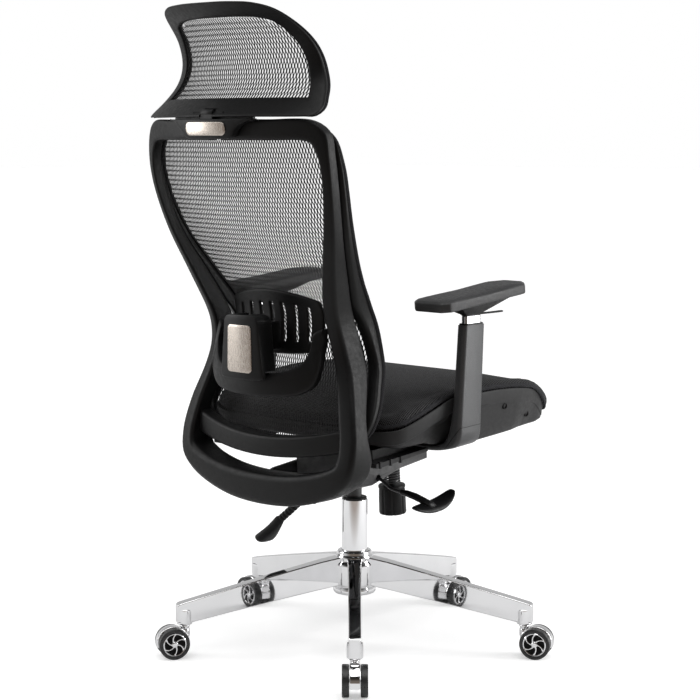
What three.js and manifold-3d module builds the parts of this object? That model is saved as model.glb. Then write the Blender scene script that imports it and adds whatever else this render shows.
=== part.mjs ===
// Swivel office chair with a mesh back, a headrest and height-adjustable arms.
// Millimetres. +Z is up, the chair faces -Y, and +X is the sitter's left.
// The column's axis is x = 0, y = 0 until the whole group is moved to its origin at the end.
import * as THREE from 'three';
import { mergeVertices } from 'three/addons/utils/BufferGeometryUtils.js';
import Module from 'manifold-3d';

const wasm = await Module();
wasm.setup();

// ---------------------------------------------------------------- driving dimensions
const gap = 0.3; // clearance between pieces that touch
const originShiftX = -12; // puts the origin under the middle of the chair's box

const legAngles = [133, 205, 277, 349, 61]; // degrees around the column
const legReach = 350; // column axis to the end of a leg
const stemReach = 335; // column axis to a castor's stem
const legEnd = { bottom: 62, top: 101 };
const hub = { radius: 41, bottom: 98, top: 182 };
const column = { radius: 25, bore: 21, bottom: 96, top: 281 };
const gasRod = { radius: 14, bottom: 112, top: 334 };

const wheel = { radius: 29, width: 13, sides: 20, bore: 3.3 };
const castor = { trail: 24, bodyWidth: 19, hoodRadius: 31.5, axleRadius: 3, stemRadius: 5.5 };

const seatTilt = THREE.MathUtils.degToRad(3.7); // the front of the seat is higher
const seatHeight = 400.7; // underside of the arm feet on the column's axis

const back = { bowTop: 45, bowBottom: 18, bowFrom: 420, bowSpan: 400 };
const recline = { y: 60, z: 350, pinRadius: 5 };
const headTilt = { y: 371, z: 1011, pinRadius: 2.5 };
const lumbarLean = THREE.MathUtils.degToRad(20); // the lumbar pad slides up and back

const arm = { x: 265.5, inner: 255, outer: 276, top: 633, postY: -24, bottomY: -10 };
const post = { width: 13, depth: 44, bottom: 540, top: 649 };
const pad = { x: 258, y: -38, bottom: 674, length: 252, width: 86, thickness: 21 };
const padTilt = THREE.MathUtils.degToRad(5.6);

// ---------------------------------------------------------------- materials
const looks = {
  blackPlastic: { color: 0x1b1c1d, roughness: 0.55, metalness: 0 },
  graphite: { color: 0x34363a, roughness: 0.45, metalness: 0.2 },
  charcoal: { color: 0x2c2d30, roughness: 0.6, metalness: 0 },
  chrome: { color: 0xe6e6e8, roughness: 0.06, metalness: 1 },
  steel: { color: 0x8c8f94, roughness: 0.35, metalness: 1 },
  blackSteel: { color: 0x17181a, roughness: 0.4, metalness: 0.6 },
  champagne: { color: 0xb9aea4, roughness: 0.25, metalness: 0.9 },
  tyre: { color: 0x121213, roughness: 0.5, metalness: 0 },
  mesh: { color: 0x202124, roughness: 0.85, metalness: 0 },
  fabric: { color: 0x121316, roughness: 0.95, metalness: 0 },
  softPad: { color: 0x222326, roughness: 0.5, metalness: 0 },
};

// ---------------------------------------------------------------- helpers
const chair = new THREE.Group();

function addPiece(parent, name, geometry, look) {
  const mesh = new THREE.Mesh(geometry, new THREE.MeshStandardMaterial(looks[look]));
  mesh.name = name;
  parent.add(mesh);
  return mesh;
}

function toSolid(geometry) {
  const plain = geometry.clone();
  plain.deleteAttribute('normal');
  plain.deleteAttribute('uv');
  const merged = mergeVertices(plain, 1e-3);
  return new wasm.Manifold(new wasm.Mesh({
    numProp: 3,
    vertProperties: new Float32Array(merged.attributes.position.array),
    triVerts: new Uint32Array(merged.index.array),
  }));
}

function toGeometry(solid) {
  const result = solid.getMesh();
  const geometry = new THREE.BufferGeometry();
  geometry.setAttribute('position', new THREE.BufferAttribute(result.vertProperties, 3));
  geometry.setIndex(new THREE.BufferAttribute(result.triVerts, 1));
  geometry.computeVertexNormals();
  return geometry;
}

function join(first, ...others) {
  return toGeometry(others.reduce((sum, other) => sum.add(toSolid(other)), toSolid(first)));
}

function cut(first, ...tools) {
  return toGeometry(tools.reduce((rest, tool) => rest.subtract(toSolid(tool)), toSolid(first)));
}

function common(first, ...others) {
  return toGeometry(others.reduce((rest, other) => rest.intersect(toSolid(other)), toSolid(first)));
}

function outline(points) {
  return new THREE.Shape(points.map(([a, b]) => new THREE.Vector2(a, b)));
}

function roundedRectangle(width, height, radius) {
  const [x, y] = [width / 2 - radius, height / 2 - radius];
  const shape = new THREE.Shape();
  shape.absarc(x, y, radius, 0, Math.PI / 2);
  shape.absarc(-x, y, radius, Math.PI / 2, Math.PI);
  shape.absarc(-x, -y, radius, Math.PI, Math.PI * 1.5);
  shape.absarc(x, -y, radius, Math.PI * 1.5, Math.PI * 2);
  return shape;
}

// Extrudes a shape along one axis. The shape's own axes are (y, z) along X, (x, z) along Y
// and (x, y) along Z.
function prism(axis, shape, from, to, options = {}) {
  const flat = Array.isArray(shape) ? outline(shape) : shape;
  const { chamfer = 0, curveSegments = 4, steps = 1 } = options;
  const geometry = new THREE.ExtrudeGeometry(flat, {
    depth: to - from - 2 * chamfer,
    steps,
    curveSegments,
    bevelEnabled: chamfer > 0,
    bevelThickness: chamfer,
    bevelSize: chamfer,
    bevelOffset: -chamfer,
    bevelSegments: 1,
  });
  geometry.translate(0, 0, chamfer);
  if (axis === 'x') {
    geometry.applyMatrix4(new THREE.Matrix4().set(0, 0, 1, from, 1, 0, 0, 0, 0, 1, 0, 0, 0, 0, 0, 1));
  }
  if (axis === 'y') {
    geometry.applyMatrix4(new THREE.Matrix4().set(1, 0, 0, 0, 0, 0, -1, to, 0, 1, 0, 0, 0, 0, 0, 1));
  }
  if (axis === 'z') {
    geometry.translate(0, 0, from);
  }
  return geometry;
}

function box(x0, x1, y0, y1, z0, z1) {
  const geometry = new THREE.BoxGeometry(x1 - x0, y1 - y0, z1 - z0);
  return geometry.translate((x0 + x1) / 2, (y0 + y1) / 2, (z0 + z1) / 2);
}

function cylinderZ(radius, z0, z1, sides = 24) {
  const geometry = new THREE.CylinderGeometry(radius, radius, z1 - z0, sides);
  return geometry.rotateX(Math.PI / 2).translate(0, 0, (z0 + z1) / 2);
}

function cylinderX(radius, x0, x1, y, z, sides = 16) {
  const geometry = new THREE.CylinderGeometry(radius, radius, x1 - x0, sides);
  return geometry.rotateZ(Math.PI / 2).translate((x0 + x1) / 2, y, z);
}

// Turns a closed profile of [radius, z] points around the Z axis.
function turned(profile, sides = 24) {
  const points = profile.map(([radius, z]) => new THREE.Vector2(radius, z));
  const onAxis = profile[0][0] === 0 && profile[profile.length - 1][0] === 0;
  if (!onAxis) points.push(points[0].clone());
  return new THREE.LatheGeometry(points, sides).rotateX(Math.PI / 2);
}

function tube(points, radius, sides = 8, stepLength = 12) {
  const path = new THREE.CatmullRomCurve3(points.map((p) => new THREE.Vector3(...p)));
  const section = new THREE.Shape();
  section.absarc(0, 0, radius, 0, Math.PI * 2);
  return new THREE.ExtrudeGeometry(section, {
    steps: Math.max(2, Math.round(path.getLength() / stepLength)),
    curveSegments: sides / 2,
    bevelEnabled: false,
    extrudePath: path,
  });
}

// Returns a function that follows the rows [t, value] smoothly.
function curveThrough(rows) {
  const slope = (i) => {
    const [low, high] = [Math.max(i - 1, 0), Math.min(i + 1, rows.length - 1)];
    return (rows[high][1] - rows[low][1]) / (rows[high][0] - rows[low][0]);
  };
  return (t) => {
    if (t <= rows[0][0]) return rows[0][1];
    const next = rows.findIndex(([key]) => key >= t);
    if (next === -1) return rows[rows.length - 1][1];
    const [[t0, v0], [t1, v1]] = [rows[next - 1], rows[next]];
    const span = t1 - t0;
    const u = (t - t0) / span;
    const [a, b] = [slope(next - 1) * span, slope(next) * span];
    return v0 + u * (a + u * (3 * (v1 - v0) - 2 * a - b + u * (a + b - 2 * (v1 - v0))));
  };
}

// A closed outline that is the same on both sides of x = 0, from half of it.
function bothSides(half) {
  return [...half, ...half.slice(1, -1).reverse().map(([x, z]) => [-x, z])];
}

function smoothLoop(points, count) {
  const knots = points.map(([x, z]) => new THREE.Vector3(x, z, 0));
  const curve = new THREE.CatmullRomCurve3(knots, true, 'centripetal');
  return curve.getSpacedPoints(count).slice(0, -1).map((p) => [p.x, p.y]);
}

// Moves each point of a clockwise loop inwards by width(x, z).
function inset(loop, width) {
  return loop.map(([x, z], i) => {
    const [x0, z0] = loop[(i + loop.length - 1) % loop.length];
    const [x1, z1] = loop[(i + 1) % loop.length];
    const length = Math.hypot(x1 - x0, z1 - z0);
    const amount = width(x, z) / length;
    return [x + (z1 - z0) * amount, z - (x1 - x0) * amount];
  });
}

// Section of a frame member: [share of the width from outside to inside, share of the depth
// from front to rear], starting at the outer rear corner.
const squareSection = [[0, 1], [0, 0], [1, 0], [1, 1]];
const softSection = [[0, 0.7], [0, 0], [1, 0], [1, 0.7], [0.75, 1], [0.25, 1]];

// A closed frame between two clockwise loops in X and Z. It bends with front(x, z) and
// rear(x, z), which are read on the outer loop and the inner one.
function ring(outer, inner, front, rear, section = squareSection) {
  const count = outer.length;
  const geometry = new THREE.TorusGeometry(2, 1, section.length, count);
  const place = geometry.attributes.position;
  for (let j = 0; j <= section.length; j += 1) {
    const [across, deep] = section[j % section.length];
    for (let i = 0; i <= count; i += 1) {
      const from = (count - i) % count;
      const x = outer[from][0] + (inner[from][0] - outer[from][0]) * across;
      const z = outer[from][1] + (inner[from][1] - outer[from][1]) * across;
      const y = front(x, z) + (rear(x, z) - front(x, z)) * deep;
      place.setXYZ(j * (count + 1) + i, x, y, z);
    }
  }
  geometry.computeVertexNormals();
  return geometry;
}

// A plate cut to an outline in X and Z, whose front and back faces follow front(x, z) and
// rear(x, z).
function bentPlate(outer, front, rear) {
  const geometry = prism('y', outer, 0, 1);
  const place = geometry.attributes.position;
  for (let i = 0; i < place.count; i += 1) {
    const [x, z] = [place.getX(i), place.getZ(i)];
    place.setY(i, place.getY(i) > 0.5 ? rear(x, z) : front(x, z));
  }
  geometry.computeVertexNormals();
  return geometry;
}

// ---------------------------------------------------------------- base
function legProfile() {
  return [
    [30, 116], [legReach - 40, legEnd.bottom + 4], [legReach - 30, legEnd.bottom],
    [legReach, legEnd.bottom], [legReach, legEnd.top], [60, 164], [30, 172],
  ];
}

function leg(angle) {
  const geometry = prism('y', legProfile(), -11.5, 11.5, { chamfer: 1.5 });
  const socket = cylinderZ(15, legEnd.bottom, legEnd.top - 2, 16).translate(stemReach, 0, 0);
  const solid = join(geometry, socket);
  return solid.rotateZ(THREE.MathUtils.degToRad(angle));
}

function stemHole(angle) {
  const hole = cylinderZ(castor.stemRadius + gap, legEnd.bottom - 1, legEnd.top - 8, 16);
  return hole.translate(stemReach, 0, 0).rotateZ(THREE.MathUtils.degToRad(angle));
}

function baseStar() {
  const centre = turned([
    [0, hub.bottom], [hub.radius - 4, hub.bottom], [hub.radius, hub.bottom + 6],
    [hub.radius, hub.top - 22], [hub.radius - 8, hub.top - 6], [hub.radius - 9, hub.top],
    [0, hub.top],
  ], 30);
  const star = join(centre, ...legAngles.map(leg));
  const bore = cylinderZ(column.radius + gap, hub.bottom - 1, hub.top + 1, 30);
  return cut(star, bore, ...legAngles.map(stemHole));
}

function columnTube() {
  return turned([
    [column.bore, column.bottom], [column.radius, column.bottom],
    [column.radius, column.top], [column.bore, column.top],
  ], 30);
}

function columnBushing() {
  const inner = gasRod.radius + gap;
  return turned([
    [inner, column.top - 60], [column.bore - gap, column.top - 60],
    [column.bore - gap, column.top + gap], [column.radius - 1.5, column.top + gap],
    [column.radius - 1.5, column.top + 4], [inner, column.top + 4],
  ], 24);
}

// ---------------------------------------------------------------- castors
// A castor is made about its stem, and trails along its own +X.
function castorBody() {
  const { trail, bodyWidth, hoodRadius, stemRadius } = castor;
  const side = new THREE.Shape();
  side.absarc(trail, wheel.radius, hoodRadius, -0.2, Math.PI + 0.2);
  const hole = new THREE.Path();
  hole.absarc(trail, wheel.radius, castor.axleRadius + gap, 0, Math.PI * 2);
  side.holes.push(hole);
  const half = bodyWidth / 2;
  const hood = prism('y', side, -half, half, { curveSegments: 14 });
  const collar = cylinderZ(9.5, wheel.radius + 12, legEnd.bottom - 0.6, 16);
  const stem = cylinderZ(stemRadius, legEnd.bottom - 2, legEnd.top - 9, 16);
  return join(hood, collar, stem);
}

function castorAxle() {
  const reach = castor.bodyWidth / 2 + wheel.width - 2;
  const axle = new THREE.CylinderGeometry(castor.axleRadius, castor.axleRadius, 2 * reach, 12);
  return axle.translate(castor.trail, 0, wheel.radius);
}

// One flat of the tread faces the floor.
function castorWheel(side) {
  const tread = wheel.radius / Math.cos(Math.PI / wheel.sides);
  const profile = [
    [wheel.bore, 0], [tread - 1.6, 0], [tread, 1.6], [tread, wheel.width - 1.6],
    [tread - 1.6, wheel.width], [21.5, wheel.width], [20.5, wheel.width - 1.5],
    [wheel.bore, wheel.width - 1.5],
  ];
  const points = profile.map(([radius, along]) => new THREE.Vector2(radius, along));
  points.push(points[0].clone());
  const geometry = new THREE.LatheGeometry(points, wheel.sides);
  geometry.rotateY(Math.PI / wheel.sides);
  if (side < 0) geometry.rotateX(Math.PI);
  const inner = castor.bodyWidth / 2 + 0.5;
  return geometry.translate(castor.trail, side * inner, wheel.radius);
}

function addCastor(number, angle) {
  const group = new THREE.Group();
  const turn = THREE.MathUtils.degToRad(angle);
  group.position.set(stemReach * Math.cos(turn), stemReach * Math.sin(turn), 0);
  group.rotation.z = turn;
  addPiece(group, `castor_${number}_body`, castorBody(), 'chrome');
  addPiece(group, `castor_${number}_axle`, castorAxle(), 'steel');
  addPiece(group, `castor_${number}_wheel_a`, castorWheel(1), 'tyre');
  addPiece(group, `castor_${number}_wheel_b`, castorWheel(-1), 'tyre');
  chair.add(group);
}

// ---------------------------------------------------------------- tilt mechanism
// Seat pieces are made on a level plane, z = 0 at the underside of the arm feet.
const seat = new THREE.Group();
seat.position.z = seatHeight;
seat.rotation.x = -seatTilt;

function upright(geometry) {
  return geometry.translate(0, 0, -seatHeight).rotateX(seatTilt);
}

function mechanismHousing() {
  const profile = [[100, -80], [20, -84], [-60, -67], [-140, -62], [-140, -4.6], [100, -4.6]];
  const cavity = [[95, -76], [22, -79], [-60, -62], [-135, -57], [-135, -10], [95, -10]];
  const shell = cut(prism('x', profile, -62, 62, { chamfer: 3 }), prism('x', cavity, -57, 57));
  const boss = upright(cylinderZ(23, 306, gasRod.top + 8, 20));
  const rodHole = upright(cylinderZ(gasRod.radius + gap, 300, gasRod.top + gap, 24));
  const springSeat = cylinderZ(20, -70, -58, 16).translate(0, -100, 0);
  const boltHole = cylinderZ(6.3, -72, -50, 12).translate(0, -100, 0);
  const pinY = recline.y;
  const pinHole = cylinderX(recline.pinRadius + gap, -70, 70, 0, 0, 12);
  pinHole.translate(0, pinY, recline.z);
  const leverHole = cylinderX(7, -70, -50, 0, 328, 12);
  const solid = join(shell, boss, springSeat);
  return cut(solid, rodHole, boltHole, upright(pinHole), upright(leverHole));
}

function mechanismPlate() {
  const holes = [[-85, -95], [85, -95], [-85, 75], [85, 75]];
  const shape = roundedRectangle(200, 210, 12);
  holes.forEach(([x, y]) => {
    const hole = new THREE.Path();
    hole.absarc(x, y, 4.5, 0, Math.PI * 2);
    shape.holes.push(hole);
  });
  return prism('z', shape, -4.3, -gap).translate(0, -20, 0);
}

function tensionSpring() {
  const [turns, radius, wire] = [7.5, 15.5, 2.1];
  const [low, high] = [-111, -70 - gap - wire];
  const steps = Math.round(turns * 9);
  const points = [];
  for (let i = 0; i <= steps; i += 1) {
    const turn = (2 * Math.PI * turns * i) / steps;
    const z = low + ((high - low) * i) / steps;
    points.push(new THREE.Vector3(radius * Math.cos(turn), radius * Math.sin(turn), z));
  }
  const section = new THREE.Shape();
  section.absarc(0, 0, wire, 0, Math.PI * 2);
  const coil = new THREE.ExtrudeGeometry(section, {
    steps,
    curveSegments: 3,
    bevelEnabled: false,
    extrudePath: new THREE.CatmullRomCurve3(points),
  });
  return coil.translate(0, -100, 0);
}

function tensionKnob() {
  const flutes = 8;
  const section = [];
  for (let i = 0; i < flutes * 4; i += 1) {
    const turn = (2 * Math.PI * i) / (flutes * 4);
    const radius = i % 4 === 0 ? 25 : 27;
    section.push([radius * Math.cos(turn), radius * Math.sin(turn)]);
  }
  const body = prism('z', section, -172, -114);
  const place = body.attributes.position;
  for (let i = 0; i < place.count; i += 1) {
    const flare = place.getZ(i) < -120 ? 1.08 : 1;
    place.setXY(i, place.getX(i) * flare, place.getY(i) * flare);
  }
  const stem = cylinderZ(6, -116, -52, 12);
  return join(body, stem).translate(0, -100, 0);
}

// ---------------------------------------------------------------- levers
function liftRod() {
  return tube([[-54, 0, 328], [-68, 0, 326], [-94, 0, 312], [-118, 0, 309]], 3.3, 8, 8);
}

// The paddle is a crescent: how high its middle surface is at a distance along it.
const paddleRise = (along) => 0.0023 * (along - 18) ** 2 + 4e-7 * (along - 18) ** 4;

function liftPaddle() {
  const blade = bentPlate(
    [[-52, -10], [-38, -13], [0, -12], [38, -13], [50, -9], [54, 2], [46, 13], [0, 14], [-46, 11]],
    (along) => paddleRise(along) - 4, (along) => paddleRise(along) + 4,
  );
  blade.rotateX(Math.PI / 2).rotateZ(Math.PI / 2).translate(-176, -27, 285);
  const grip = prism('y', [[-119, 303], [-119, 314], [-150, 313], [-186, 301], [-186, 287], [-150, 300]], -12, 8);
  const socket = cylinderX(3.6, -130, -110, 0, 309, 12);
  return cut(join(blade, grip), socket);
}

function tiltRod() {
  return tube([[50, 60, 306], [70, 60, 288], [96, 60, 263], [137, 60, 226]], 5.6, 8, 12);
}

function tiltHandle() {
  const side = [
    [132, 240], [146, 226], [176, 214], [211, 190], [207, 180], [152, 178], [137, 204], [127, 226],
  ];
  const grip = prism('y', side, 46, 74, { chamfer: 3 });
  const socket = tube([[96, 60, 263], [116, 60, 245], [140, 60, 223.3]], 6.2, 8, 12);
  return cut(grip, socket);
}

// ---------------------------------------------------------------- seat
const seatPlan = [
  [0, -354], [120, -352], [192, -342], [229, -307], [246, -245], [251, -100], [252, 20],
  [249, 100], [238, 136], [205, 152], [140, 157], [0, 159],
];

function insetPlan(amount) {
  const loop = smoothLoop(bothSides(seatPlan), 48);
  return inset(loop, () => -amount);
}

// The shell's plan keeps behind the seat's by nosePlan at the front, where the cover wraps it.
const nosePlan = 9.5;

function shellPlan(amount) {
  return insetPlan(amount).map(([x, y]) => {
    const share = nosePlan * Math.min(1, Math.max(0, (-200 - y) / 70));
    const length = Math.hypot(x, y + 150);
    return [x * (1 - share / length), -150 + (y + 150) * (1 - share / length)];
  });
}

const shellSide = [
  [-66, 1.5], [-250, 1.5], [-285, 4], [-312, 10], [-330, 19], [-338, 28], [-333, 38],
  [-315, 50], [-290, 63], [-262, 75], [-205, 85], [-144, 92], [-83, 96], [-30, 99], [5, 99],
  [37, 91], [79, 80], [120, 68], [157, 57], [154, 26], [34, 22], [34, 15], [-66, 15],
];

function shellBlock() {
  const front = [[-229, 0], [229, 0], [251, 100], [-251, 100]];
  return common(
    prism('x', shellSide, -253, 253),
    prism('z', shellPlan(0), 0, 110),
    prism('y', front, -360, 165),
  );
}

function seatShell() {
  const insideSide = [
    [-285, 21], [-314, 27], [-327, 33], [-324, 60], [-324, 120], [151, 120], [151, 58],
    [148, 32], [40, 28.5], [28, 21],
  ];
  const insideFront = [[-221, 21], [221, 21], [245.5, 110], [-245.5, 110]];
  const inside = common(
    prism('x', insideSide, -253, 253),
    prism('z', shellPlan(5.5), 10, 130),
    prism('y', insideFront, -360, 165),
  );
  const pockets = [-1, 1].map((side) => {
    const [x0, x1] = side > 0 ? [76, 214] : [-214, -76];
    return box(x0, x1, -290, -74, 7.5, 22);
  });
  const rails = [box(150, 211, 34, 148, -2, 24), box(-211, -150, 34, 148, -2, 24)];
  const spacer = box(-70, 70, -110, 70, gap, 17);
  return join(cut(shellBlock(), inside, ...pockets), spacer, ...rails);
}

function grownShell(growth, lift) {
  return shellBlock().translate(0, 90, 0).scale(growth, growth, 1).translate(0, -90, lift);
}

// The cushion fills the shell, rises over its rim, and its cover wraps round the shell's nose.
function seatCushion() {
  const crown = [
    [-150, 111], [-241, 95], [-290, 80], [-320, 62], [-343, 42], [-351, 24], [-350, 9], [-344, 3],
  ];
  const side = [
    [-284, 21.5], [27.8, 21.5], [39.8, 29], [147.4, 32.6], [150.4, 58], [146, 76], [140, 86],
    [110, 96], [40, 107], [-60, 113], ...crown, [-336, 5], [-333, 30], [-326, 32.4],
    [-313.5, 27.6],
  ];
  const front = [
    [-220.5, 21.4], [220.5, 21.4], [245, 109], [200, 118], [0, 120], [-200, 118], [-245, 109],
  ];
  const behindNose = [
    [-302, -9], [-303, 13], [-292, 40], [-262, 72], [-205, 85.6], [-140, 92], [-140, -9],
  ];
  const filling = common(
    prism('x', side, -253, 253),
    prism('z', shellPlan(6), 0, 130),
    prism('y', front, -323.4, 165),
  );
  const wrap = common(
    prism('x', [[-360, 2], [-150, 2], ...crown, [-360, 12]], -253, 253),
    prism('z', insetPlan(1), 0, 130),
    prism('y', [[-250, 0], [250, 0], [250, 100], [200, 118], [-200, 118], [-250, 100]], -360, -140),
  );
  const cover = cut(
    wrap,
    prism('x', behindNose, -253, 253),
    grownShell(1.0025, 0),
    grownShell(1, 0.35),
    grownShell(1, -0.35),
  );
  return join(filling, cover);
}

// ---------------------------------------------------------------- back frames
const backOutline = [
  [0, 1000], [120, 1000], [195, 998], [221, 979], [228, 935], [226, 880], [212, 803],
  [188, 727], [168, 650], [172, 600], [190, 543], [211, 480], [222, 425], [216, 378],
  [191, 349], [150, 326], [83, 307], [0, 301],
];
const meshOutline = [
  [0, 994], [120, 994], [192, 991], [221, 970], [232, 925], [231, 880], [217, 803],
  [193, 727], [174, 650], [178, 600], [196, 543], [214, 485], [210, 452], [190, 432],
  [140, 418], [80, 410], [0, 406],
];
const rearFace = curveThrough([
  [300, 240], [360, 248], [400, 246], [480, 230], [560, 211], [620, 216], [700, 245],
  [800, 280], [900, 306], [1000, 318],
]);
const rearDepth = curveThrough([
  [300, 56], [400, 58], [440, 42], [480, 38], [560, 50], [640, 50], [720, 40], [800, 27],
  [900, 23], [1000, 22],
]);
const meshFace = curveThrough([
  [400, 190], [440, 178], [480, 163], [520, 142], [560, 123], [600, 118], [640, 126],
  [680, 151], [720, 181], [800, 229], [880, 257], [1000, 280],
]);
const rearWidth = curveThrough([
  [300, 50], [350, 40], [400, 31], [500, 31], [620, 34], [760, 28], [900, 27], [985, 34],
  [1000, 36],
]);
const halfWidth = curveThrough(backOutline.slice(3, 13).reverse().map(([x, z]) => [z, x]));

// How far the middle of the back stands behind its edges at x, z.
function bow(x, z) {
  const rise = Math.min(1, Math.max(0, (z - back.bowFrom) / back.bowSpan));
  const depth = back.bowBottom + (back.bowTop - back.bowBottom) * rise;
  const across = Math.min(1.1, Math.abs(x) / halfWidth(z));
  return depth * (1 - across * across);
}

function rearFrame() {
  const outer = smoothLoop(bothSides(backOutline), 64);
  const inner = inset(outer, (x, z) => rearWidth(z));
  const rear = (x, z) => rearFace(z) + bow(x, z);
  const frame = ring(outer, inner, (x, z) => rear(x, z) - rearDepth(z), rear, softSection);
  const neckSlot = box(-15, 15, 352, 380, 950, 1010);
  return cut(frame, neckSlot);
}

function meshFrame() {
  const outer = smoothLoop(bothSides(meshOutline), 60);
  const inner = inset(outer, (x, z) => (z > 960 ? 24 : 19));
  const front = (x, z) => meshFace(z) + bow(x, z);
  const rear = (x, z) => {
    const room = rearFace(z) - rearDepth(z) - meshFace(z) - 2;
    return front(x, z) + Math.min(22, room);
  };
  return ring(outer, inner, front, rear);
}

// A closed sheet with a grid of faces: x runs to edge(z) on both sides, z from low(x) to high(x).
function bentSheet(columns, rows, edge, low, high, front, rear) {
  const geometry = new THREE.BoxGeometry(2, 1, 1, columns, 1, rows);
  const place = geometry.attributes.position;
  for (let i = 0; i < place.count; i += 1) {
    const across = place.getX(i);
    const up = place.getZ(i) + 0.5;
    const level = low(0) + (high(0) - low(0)) * up;
    const x = across * edge(level);
    const z = low(x) + (high(x) - low(x)) * up;
    place.setXYZ(i, x, place.getY(i) > 0 ? rear(x, z) : front(x, z), z);
  }
  geometry.deleteAttribute('normal');
  geometry.deleteAttribute('uv');
  const sheet = mergeVertices(geometry, 1e-3);
  sheet.computeVertexNormals();
  return sheet;
}

const meshHalfWidth = curveThrough(meshOutline.slice(3, 13).reverse().map(([x, z]) => [z, x]));

function backMesh() {
  const edge = (z) => meshHalfWidth(z) - 28.5 - 23 * Math.max(0, (z - 945) / 22) ** 2;
  const low = (x) => 426.5 + 30 * (x / 190) ** 2;
  const front = (x, z) => meshFace(z) + 7 + bow(x, z);
  return bentSheet(8, 16, edge, low, () => 967, front, (x, z) => front(x, z) + 2);
}

function crossbar() {
  const low = (x) => 390 + 24 * (x / 186) ** 2;
  const high = (x) => 428 + 25 * (x / 186) ** 2;
  const rear = (x) => 229 + 28 * (1 - (x / 186) ** 2);
  const front = (x, z) => Math.max(meshFace(z) + bow(x, z) + 24, rear(x) - 34);
  return bentSheet(8, 1, () => 186, low, high, front, rear);
}

function backCarrier() {
  const side = [[184, 306], [184, 338], [150, 352], [58, 362], [46, 356], [46, 340], [60, 334]];
  const arms = [-1, 1].map((hand) => {
    const [x0, x1] = hand > 0 ? [64, 72] : [-72, -64];
    return prism('x', side, x0, x1);
  });
  const bridge = prism('x', [[179, 306], [179, 340], [150, 351], [146, 330]], -68, 68);
  const pinHole = cylinderX(recline.pinRadius + gap, -80, 80, recline.y, recline.z, 12);
  return cut(join(bridge, ...arms), pinHole);
}

function reclinePin() {
  return cylinderX(recline.pinRadius, -78, 78, recline.y, recline.z, 12);
}

// ---------------------------------------------------------------- lumbar support
const lumbarBulge = (x) => 285 - 45 * (x / 140) ** 2;

function lumbarGuide(width, depth, from, to) {
  const bar = prism('z', roundedRectangle(width, depth, 3), from, to);
  return bar.rotateX(-lumbarLean).translate(0, 275, 590);
}

function lumbarBracket() {
  const low = [[-133, 600], [-131, 560], [-120, 535], [-95, 519], [-50, 512], [0, 511]];
  const high = [[0, 552], [-50, 553], [-85, 560], [-108, 575], [-117, 596], [-119, 626], [-132, 634]];
  const mirror = (points) => points.map(([x, z]) => [-x, z]).reverse();
  const loop = [...low, ...mirror(low).slice(1), ...mirror(high), ...high.slice(1)];
  const rear = (x, z) => lumbarBulge(x) - 0.25 * Math.max(0, z - 560);
  const strap = bentPlate(loop, (x, z) => rear(x, z) - 16, rear);
  const foot = box(-15, 15, 256, 280, 530, 556);
  return join(strap, foot, lumbarGuide(30, 10, -42, 52));
}

function lumbarSlider() {
  const half = [[0, 657], [38, 655], [45, 648], [47, 600], [53, 557], [0, 557]];
  const shape = [...half, ...half.slice(1, -1).reverse().map(([x, z]) => [-x, z])];
  const body = bentPlate(shape, () => 262, (x) => 303 - 0.0022 * x * x);
  const stalk = box(-22, 22, 228, 264, 590, 640);
  const recess = prism('y', roundedRectangle(80, 92, 8), 299, 320).translate(0, 0, 605);
  return cut(join(body, stalk), lumbarGuide(30.8, 10.8, -90, 90), recess);
}

function lumbarInsert() {
  const shape = roundedRectangle(79, 91, 7.5);
  return prism('y', shape, 299 + gap, 304, { chamfer: 1, curveSegments: 4 }).translate(0, 0, 605);
}

function lumbarPad() {
  const edge = (z) => 114 - 0.004 * (z - 645) ** 2;
  const lift = (x) => 9 * (x / 114) ** 2;
  const front = (x, z) => 210 - 14 * (x / 114) ** 2 + 0.005 * Math.max(0, z - 640) ** 2;
  const [low, high] = [(x) => 580 + lift(x), (x) => 698 - 2 * lift(x)];
  const sheet = bentSheet(8, 4, edge, low, high, front, (x, z) => front(x, z) + 7);
  const slots = [];
  for (let i = -3; i <= 3; i += 1) {
    slots.push(box(i * 28 - 3.5, i * 28 + 3.5, 150, 220, 604, 672));
  }
  const boss = box(-22, 22, 214, 227.6, 590, 640);
  return join(cut(sheet, ...slots), boss);
}

// ---------------------------------------------------------------- headrest
const headHalfWidth = curveThrough([
  [1003, 205], [1012, 210], [1040, 199], [1080, 182], [1120, 171], [1150, 161], [1175, 149],
  [1190, 132], [1197, 110], [1200, 88],
]);
const headOutline = [
  [0, 1199], [60, 1198.5], [105, 1195], [134, 1185], [150, 1168], [166, 1135], [182, 1080],
  [199, 1040], [210, 1015], [206, 1005], [185, 1004], [90, 1004], [0, 1004],
];
const headDepth = curveThrough([
  [1003, 385], [1030, 351], [1060, 324], [1090, 314], [1120, 319], [1150, 338], [1199, 394],
]);

const headCurve = 0.0013; // how fast the headrest comes forward to its sides

function headRear(x, z) {
  return headDepth(z) - headCurve * x * x;
}

function headrestFrame() {
  const outer = smoothLoop(bothSides(headOutline), 60);
  const inner = inset(outer, (x, z) => (z < 1015 ? 33 : 25));
  const frame = ring(outer, inner, (x, z) => headRear(x, z) - 15, headRear);
  const notch = box(-15.5, 15.5, 340, 400, 990, headTilt.z + 9);
  const pinHole = cylinderX(headTilt.pinRadius + gap, -40, 40, headTilt.y, headTilt.z, 12);
  return cut(frame, notch, pinHole);
}

function headrestMesh() {
  const edge = (z) => headHalfWidth(z) - 33 - 18 * Math.max(0, (z - 1145) / 25) ** 2;
  const front = (x, z) => headRear(x, z) - 10;
  return bentSheet(8, 8, edge, () => 1039, () => 1168, front, (x, z) => front(x, z) + 2);
}

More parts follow.
